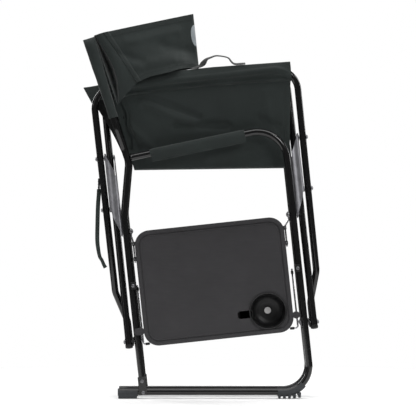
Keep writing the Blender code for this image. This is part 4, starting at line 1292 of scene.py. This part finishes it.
def back_flap(side, word):
    """The loose cloth between the pocket and the double seam: a valley and a flat flap."""
    start_top, start_low = Vector((-0.2530, 0.8520)), Vector((-0.1990, 0.6900))

    def flap_spot(s, t):
        spot = start_top.lerp(start_low, t).lerp(SEAM_TOP.lerp(SEAM_LOW, t), s)
        bend = math.sin(math.pi * min(1.0, t * 1.02)) ** 0.8
        width = 0.10 + 0.36 * bend
        if s < width:
            y = 0.0650 - (0.004 + 0.026 * bend) * math.sin(math.pi * s / width) ** 0.8
        else:
            share = (s - width) / (1 - width)
            y = 0.0650 + 0.0030 * math.sin(math.pi * share) - 0.0012 * share
        y += wrinkle((spot.x * 1.6, spot.y * 0.8), 51.0 * side, 1.4)
        return back_spot(side, spot, y)

    size = (0.075, 0.165)
    flap = grid_sheet(f"back_{word}_flap", flap_spot, 90, 72, CLOTH, size)
    finish_piece(flap, "fabric", None)
    across = (SEAM_LOW - SEAM_TOP).normalized()
    across = Vector((-across.y, across.x)) * (1 if across.y < 0 else -1)
    middle = (SEAM_TOP + SEAM_LOW) / 2
    back_spot(side, middle - across * 0.0213, 0.0635)
    back_spot(side, middle - across * 0.0010, 0.0635)
    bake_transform(flap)


def half_spot(side, s, t):
    """A spot on the main cloth, from the double seam (s = 0) to the crease, down by t."""
    along = s * (len(LOW_EDGE) - 1)
    first = min(int(along), len(LOW_EDGE) - 2)
    edge = LOW_EDGE[first].lerp(LOW_EDGE[first + 1], along - first)
    spot = SEAM_TOP.lerp(CREASE_TOP, s).lerp(edge.xy, t)
    y = 0.0630 + (0.0035 - 0.0630) * s
    y += (edge.z - y) * t ** 2.5
    out = wrinkle((spot.x, spot.y), 61.0 * side, 1.5)
    out += sum(crease(spot, *fold) for fold in BACK_FOLDS)
    out += 0.0045 * math.sin(math.pi * s) * (0.4 + 0.6 * t)
    if t < 0.10 or t > 0.90:
        out += 0.0006
    out += 0.0026 * min(1.0, s / 0.006) * max(0.0, min(1.0, (0.062 - s) / 0.012))
    out *= min(1.0, (1 - s) / 0.05)
    curl = max(0.0, s - 0.982) / 0.018
    return back_spot(side, spot, y + out - 0.0028 * curl ** 2)


def back_cloth(side, word):
    """The main cloth with its seams and hems, and a plain oval patch over the crease."""
    def cloth_spot(s, t):
        return half_spot(side, s, t)

    size = (0.228, 0.128)
    half = grid_sheet(f"back_{word}_cloth", cloth_spot, 130, 72, CLOTH, size)
    finish_piece(half, "fabric", f"back_{word}", [f"back_{word}_panel"])

    for name, s_range, t_range in (
            ("double_seam_0", (0.012, 0.012), (0.01, 0.99)),
            ("double_seam_1", (0.040, 0.040), (0.01, 0.99)),
            ("top_hem", (0.02, 0.98), (0.085, 0.085)),
            ("low_hem", (0.02, 0.98), (0.915, 0.915))):
        line = [cloth_spot(s_range[0] + (s_range[1] - s_range[0]) * k / 40,
                           t_range[0] + (t_range[1] - t_range[0]) * k / 40)
                + Y * side * CLOTH * 0.55 for k in range(41)]
        stitches(f"back_{word}_{name}", line, f"back_{word}")

    def patch_spot(s, t):
        half_width = 0.052 * math.sqrt(max(0.0, 1 - (2 * t - 1) ** 2)) + 0.0004
        spot = cloth_spot(0.999 - half_width * (1 - s), 0.40 + (t - 0.5) * 0.40)
        return spot + Y * side * (CLOTH * 0.5 + 0.0004)

    patch = grid_sheet(f"back_{word}_patch", patch_spot, 14, 30, 0.0006, (0.012, 0.050))
    finish_piece(patch, "patch", f"back_{word}")


# ---- Armrest sleeves ----------------------------------------------------------------------
def arm_sleeve(side, word):
    """A foam-lined cloth sleeve on the armrest, sewn along its lower edge."""
    forward = Vector((math.cos(ARM_SLOPE), 0, math.sin(ARM_SLOPE)))
    up = Vector((-math.sin(ARM_SLOPE), 0, math.cos(ARM_SLOPE)))
    base = world(ARM_REAR.x, side * SPREAD, ARM_REAR.z)
    start, end, rows, hang = 0.0525, 0.2800, 75, 0.0200
    arch = [(math.cos(math.pi * k / 14), 0.0106 * math.sin(math.pi * k / 14))
            for k in range(15)]
    flat = [(1 - 0.66 * share ** 1.5, -hang * share)
            for share in (0.12, 0.25, 0.4, 0.55, 0.7, 0.85, 0.95, 1.0)]
    profile = arch + [(-across, height) for across, height in flat] + flat[::-1]

    def ring(row, less):
        along = start + (end - start) * row / rows
        tuck = 1 - 0.10 * max(0.0, 1 - min(row, rows - row) / 4)
        spots = []
        for index, (across, height) in enumerate(profile):
            ruck = wrinkle((along * 2, index * 0.012), 71.0 * side, 0.9)
            ruck += 0.0006 * math.sin(along * 95 + index * 0.5) * max(0.0, -height / hang)
            y = across * (0.0098 - less) * tuck + (ruck if across > 0 else -ruck)
            z = height * (tuck if height > 0 else 1.0) - (
                less if height > 0.004 else -less if height < -0.012 else 0.0)
            skew = 0.0030 * (1 - row / rows) * max(0.0, -height / hang)
            spots.append(base + forward * (along + skew) + Y * y + up * z)
        return spots

    outer, inner = [[ring(row, less) for row in range(rows + 1)] for less in (0.0, 0.0013)]
    sleeve = shell_mesh(f"{word}_arm_cover", outer, inner, end - start, 0.082)
    finish_piece(sleeve, "fabric", f"{word}_frame", [f"{word}_arm_sleeve"])
    line = [base + forward * (start + 0.004 + (end - start - 0.008) * k / 50)
            + Y * side * 0.0056 + up * -0.0158 for k in range(51)]
    stitches(f"{word}_arm_seam", line, f"{word}_frame")


# ---- Closing strap ------------------------------------------------------------------------
def closing_strap():
    """The webbing strap that hangs from the rear leg, and its plastic clip."""
    y = 0.004
    route = [(-0.2445, 0.4925), (-0.2449, 0.4800), (-0.2468, 0.4524), (-0.2480, 0.4100),
             (-0.2484, 0.3725), (-0.2462, 0.3500), (-0.2425, 0.3325), (-0.2375, 0.3240),
             (-0.2331, 0.3137), (-0.2290, 0.3060)]
    path = smooth_path([world(x, y, z) for x, z in route], 8)
    width = 0.0100
    strap = tape("strap_webbing", path, width, 0.0014,
                 lambda share: 1.15 + 0.35 * math.sin(share * 6.0), "strap", "outer_loop",
                 ["closing_strap"])
    round(path_length(path), 3)
    centre = world(-0.2445, 0.0035, 0.505)
    block("strap_buckle", centre, (0.0040, 0.0140, 0.0260), Matrix.Identity(3), "cup",
          "outer_loop", ["strap_clip"], edge=0.0014, segments=4)
    for number, dz in enumerate((-0.008, -0.001, 0.006)):
        block(f"strap_buckle_bar_{number}", centre + Vector((-0.0002, 0, dz)),
              (0.0050, 0.0120, 0.0020), Matrix.Identity(3), "cup", "outer_loop", edge=0.0008)


# ---- Side table ---------------------------------------------------------------------------
TABLE_P, TABLE_Q = (-0.135, 0.218), (-0.016, LINK_Q - 0.002)
TABLE_FACE, TABLE_BACK = -SPREAD - 0.0141, -SPREAD + 0.0059
TABLE_CORNER, RIM = 0.035, 0.0090
CUP_P, CUP_Q, CUP_R = 0.1600, 0.0376, 0.0416
SLOT_P, SLOT_Q = CUP_P - 0.0545, CUP_Q - 0.003
WIRE_R = 0.002


def rounded_outline(p_range, q_range, corner, steps=14):
    """A rectangle with round corners, anticlockwise from the upper front one."""
    spots = []
    for quarter, (i, j) in enumerate(((1, 1), (0, 1), (0, 0), (1, 0))):
        p = p_range[i] - corner if i else p_range[i] + corner
        q = q_range[j] - corner if j else q_range[j] + corner
        for step in range(steps + 1):
            angle = math.pi / 2 * (quarter + step / steps)
            spots.append((p + corner * math.cos(angle), q + corner * math.sin(angle)))
    return spots


def inset(limits, margin):
    return (limits[0] + margin, limits[1] - margin)


def table_outline(margin, corner):
    return rounded_outline(inset(TABLE_P, margin), inset(TABLE_Q, margin), corner)


def slot_outline(rear, front, half, corner):
    return rounded_outline((SLOT_P - rear, SLOT_P + front), (SLOT_Q - half, SLOT_Q + half),
                           corner)


def prism(name, outline, y_from, y_to):
    """A straight block over an outline of (p, q) spots."""
    bm = bmesh.new()
    front = [bm.verts.new(place(p, y_from, q)) for p, q in outline]
    back = [bm.verts.new(place(p, y_to, q)) for p, q in outline]
    bm.faces.new(front)
    bm.faces.new(back[::-1])
    for index in range(len(outline)):
        following = (index + 1) % len(outline)
        bm.faces.new((front[index], back[index], back[following], front[following]))
    return mesh_object(name, bm)


def tray():
    """The moulded tray: raised rim, sunk floor, hollow back, cup hole and grip slot."""
    part = prism("tray_moulding", table_outline(0, TABLE_CORNER), TABLE_FACE, TABLE_BACK)
    hole_r = CUP_R + 0.0006
    cup_hole = [(CUP_P + hole_r * math.cos(math.tau * s / 72),
                 CUP_Q + hole_r * math.sin(math.tau * s / 72)) for s in range(72)]
    through = (TABLE_FACE - 0.02, TABLE_BACK + 0.02)
    for outline, low, high in (
            (table_outline(RIM, 0.026), TABLE_FACE - 0.01, TABLE_FACE + 0.0035),
            (table_outline(0.004, 0.031), TABLE_FACE + 0.0070, TABLE_BACK + 0.01),
            (cup_hole, *through), (slot_outline(0.0172, 0.0172, 0.009, 0.006), *through)):
        cut(part, prism("cutter", outline, low, high))
    bevel(part, 0.0011, 3, 40)
    finish_piece(part, "table", "table", ["table_tray"])


def tray_bead():
    """A low bead just inside the rim, where the floor meets it."""
    loop = [place(p, TABLE_FACE + 0.0036, q) for p, q in table_outline(RIM + 0.0035, 0.0235)]
    rings = []
    for index, point in enumerate(loop + loop[:1]):
        side = (loop[(index + 1) % len(loop)] - loop[index - 1]).normalized().cross(Y)
        rings.append([point + side * 0.0012 * math.cos(math.tau * s / 8)
                      + Y * 0.0005 * math.sin(math.tau * s / 8) for s in range(8)])
    finish_piece(rings_mesh("tray_inner_bead", rings, caps=False), "table", "table")


def tray_ribs():
    """Stiffening ribs in the hollow back, clear of the cup and the grip slot."""
    low, high = TABLE_FACE + 0.0068, TABLE_BACK - 0.0016
    bm = bmesh.new()

    def rib(p_range, q_range):
        centre = place(sum(p_range) / 2, (low + high) / 2, sum(q_range) / 2)
        size = (p_range[1] - p_range[0], high - low, q_range[1] - q_range[0])
        add_box(bm, centre, size, LEAN_TURN)

    def thin(middle):
        return (middle - 0.0008, middle + 0.0008)

    wide_p, wide_q = inset(TABLE_P, 0.005), inset(TABLE_Q, 0.005)
    for p in (-0.085, -0.035, 0.015, 0.065):
        rib(thin(p), wide_q)
    for p in (0.118, 0.166):
        rib(thin(p), (CUP_Q + CUP_R + 0.006, wide_q[1]))
    for q in (0.020, 0.065):
        rib((wide_p[0], min(CUP_P - CUP_R - 0.004, SLOT_P - 0.021)), thin(q))
    for q in (0.110, 0.155, 0.200):
        rib(wide_p, thin(q))
    finish_piece(mesh_object("tray_ribs", bm), "table", "table")


def grip_pocket():
    """The black pocket behind the grip slot."""
    pocket = prism("grip_pocket", slot_outline(0.0182, 0.0190, 0.0098, 0.0066),
                   TABLE_FACE + 0.0046, TABLE_BACK + 0.004)
    cut(pocket, prism("cutter", slot_outline(0.0168, 0.0168, 0.0086, 0.0058),
                      TABLE_FACE - 0.01, TABLE_BACK + 0.0026))
    bevel(pocket, 0.0008, 2, 40)
    finish_piece(pocket, "cup", "table")


def finger_tabs():
    """The two tabs beside the tray, each with a short rib across it."""
    for end, low_p, high_p in (("rear", -0.158, TABLE_P[0] + 0.002),
                               ("front", TABLE_P[1] - 0.002, 0.2335)):
        outline = rounded_outline((low_p, high_p), (0.0130, 0.0300), 0.0084)
        tab = bevel(prism(f"finger_tab_{end}", outline, TABLE_FACE + 0.0001,
                          TABLE_FACE + 0.0051), 0.0014, 4)
        finish_piece(tab, "table", "table", [f"table_tab_{end}"])
        middle = place((low_p + high_p) / 2, TABLE_FACE + 0.0002, 0.0215)
        block(f"finger_tab_rib_{end}", middle, (0.0100, 0.0014, 0.0020), LEAN_TURN, "table",
              "table", edge=0.0006)


def cup():
    """A turned bowl with a stepped floor."""
    outer = [(0.0013, CUP_R + 0.0030), (0.0022, CUP_R + 0.0030), (0.0026, CUP_R + 0.0004),
             (0.0110, CUP_R - 0.0003), (0.0300, CUP_R - 0.0024), (0.0380, CUP_R - 0.0040),
             (0.0420, CUP_R - 0.0072), (0.0440, CUP_R - 0.0110), (0.0447, 0.0180),
             (0.0447, 0.0030)]
    drawn_r = 0.0400                            # the cup radius that the inside is drawn for
    inner = [
        (0.0433, 0.0030), (0.0433, 0.0100), (0.0430, 0.0180), (0.0422, 0.0215),
        (0.0416, 0.0222), (0.0408, 0.0262), (0.0392, 0.0284), (0.0355, 0.0322),
        (0.0345, 0.0328), (0.0280, 0.0352), (0.0180, 0.0370), (0.0090, 0.0381),
        (0.0035, 0.0386), (0.0014, 0.0394), (0.0006, 0.0406), (0.0006, 0.0426)]
    profile = outer + [(along, radius * (CUP_R / drawn_r)) for along, radius in inner]
    start = place(CUP_P, TABLE_FACE, CUP_Q)
    bm = bmesh.new()
    skin(bm, [circle(start + Y * along, U, W, radius, 72) for along, radius in profile],
         caps=False, closed=True)
    finish_piece(mesh_object("cup_bowl", bm), "cup", "table", ["cup_holder"])


def cup_drain():
    """The round plate with four holes in the cup's floor, and the ring round it."""
    floor = place(CUP_P, TABLE_FACE, CUP_Q) + Y * 0.0433
    lathe("drain_ring", floor, -Y, [(-0.0002, 0.0100), (0.0008, 0.0100), (0.0014, 0.0094),
                                    (0.0014, 0.0088), (0.0004, 0.0084)], "cup", "table",
          sides=48)
    plate = lathe("drain_plate", floor, -Y, [(-0.0004, 0.0080), (0.0018, 0.0080),
                                             (0.0024, 0.0074), (0.0025, 0.0006)], "white",
                  "table", ["cup_drain"], 48)
    for sp, sq in ((-1, -1), (-1, 1), (1, -1), (1, 1)):
        bm = bmesh.new()
        revolve(bm, floor + U * sp * 0.0026 + W * sq * 0.0026, -Y,
                [(0.0016, 0.0017), (0.0040, 0.0017)], 20)
        cut(plate, mesh_object("cutter", bm))
    bevel(plate, 0.0003, 2, 40)


def wire_path(corners, y, steps):
    """A bent wire through (p, q, bend radius) corners at one y."""
    return rounded_path([(place(p, y, q), radius) for p, q, radius in corners], steps)


def hanger(end, post, edge, out):
    """The wire that hangs the tray from a link bolt, with its two clips on the tray."""
    eye = post - out * (SKIN + 0.003)
    edge_p = edge + out * (WIRE_R + 0.0011)
    path = wire_path([(eye, LINK_Q - 0.0052, 0), (eye, LINK_Q - 0.012, 0.004),
                      (edge_p, LINK_Q - 0.026, 0.006), (edge_p, LINK_Q - 0.075, 0)],
                     -SPREAD, 8)
    tube(f"hanger_wire_{end}", path, WIRE_R, "wire", "table", [f"table_wire_{end}"], 16,
         0.0008)
    ring = [place(eye, -SPREAD, LINK_Q) + (Y * math.sin(a) + W * math.cos(a)) * 0.0055
            for a in (math.pi + math.tau * k / 30 for k in range(31))]
    tube(f"hanger_eye_{end}", ring, 0.0013, "wire", "table", [], 12)
    for number, q in enumerate((LINK_Q - 0.030, LINK_Q - 0.066)):
        clip_p = edge_p - out * 0.0006
        block(f"edge_clip_{end}_{number}", place(clip_p, -SPREAD, q), (0.0072, 0.0085, 0.0100),
              LEAN_TURN, "cup", "table", edge=0.0016)
        bm = bmesh.new()
        dome_head(bm, place(clip_p, -SPREAD - 0.0042, q), -Y, 0.0024, 0.0012)
        finish_piece(mesh_object(f"edge_clip_screw_{end}_{number}", bm), "bolt", "table")


def clamp(end, post, out):
    """The clamp of a strut on the front or rear post, with its slotted screw."""
    inside, outside = post - out * (TUBE_R + 0.0025), post + out * 0.002
    depth = TUBE_R * 2 + 0.006
    bm = bmesh.new()
    add_box(bm, place((inside + outside) / 2, -SPREAD + 0.0005, STRUT_Q),
            (abs(outside - inside), depth + 0.004, 0.017), LEAN_TURN)
    piece = mesh_object(f"post_clamp_{end}", bm)
    bm = bmesh.new()
    revolve(bm, place(post, -SPREAD, STRUT_Q - 0.03), W, [(0, SKIN), (0.06, SKIN)], 48)
    cut(piece, mesh_object("cutter", bm))
    bevel(piece, 0.0016, 3, 40)
    finish_piece(piece, "cup", "right_frame", [f"strut_clamp_{end}"])

    spot = place(post - out * 0.003, -SPREAD - depth / 2 - 0.0018, STRUT_Q)
    bm = bmesh.new()
    dome_head(bm, spot, -Y, 0.0043, 0.0023)
    head = mesh_object(f"slotted_screw_{end}", bm)
    bm = bmesh.new()
    add_box(bm, spot - Y * 0.0022, (0.0120, 0.0020, 0.0011),
            LEAN_TURN @ Matrix.Rotation(0.5, 3, "Y"))
    cut(head, mesh_object("cutter", bm))
    finish_piece(head, "bolt", "right_frame", [f"clamp_screw_{end}"])


def strut(end, post, edge, out):
    """The wire strut that swings up under the tray, with its tip and collar."""
    y = -SPREAD + 0.0095
    arm = (edge + post - out * TUBE_R) / 2
    low_q = STRUT_Q - 0.140
    path = wire_path([(arm, STRUT_Q, 0), (arm, low_q, 0.005), (edge - out * 0.009, low_q, 0)],
                     y, 10)
    tube(f"strut_wire_{end}", path, WIRE_R, "wire", "table_struts", [f"table_strut_{end}"],
         16, 0.0008)
    lathe(f"strut_tip_{end}", path[-1], path[-1] - path[-2],
          [(-0.0090, 0.0024), (-0.0086, 0.0031), (-0.0010, 0.0031), (0.0012, 0.0024),
           (0.0018, 0.0006)], "cup", "table_struts")
    lathe(f"strut_collar_{end}", place(arm, y, STRUT_Q - 0.0030), W,
          [(-0.0100, 0.0026), (-0.0094, 0.0032), (-0.0030, 0.0032), (-0.0024, 0.0026)],
          "cup", "table_struts")


# ---- Build --------------------------------------------------------------------------------
stage()
lights()
camera()
for side_word in SIDES:
    side_frame(*side_word)
loops()
for end_place in ENDS:
    pressed_link(*end_place)
    flat_link(*end_place)
for side_word in SIDES:
    for sew in (rail_sleeve, seat_cloth, middle_cloth, rear_cloth, seat_pleats,
                seat_stitches, upright_pocket, back_flap, back_cloth, arm_sleeve):
        sew(*side_word)
carry_handle()
closing_strap()
for make in (tray, tray_bead, tray_ribs, grip_pocket, finger_tabs, cup, cup_drain):
    make()
for (end_word, post_p, outward), tray_edge in zip(ENDS, TABLE_P):
    hanger(end_word, post_p, tray_edge, outward)
    clamp(end_word, post_p, outward)
    strut(end_word, post_p, tray_edge, outward)
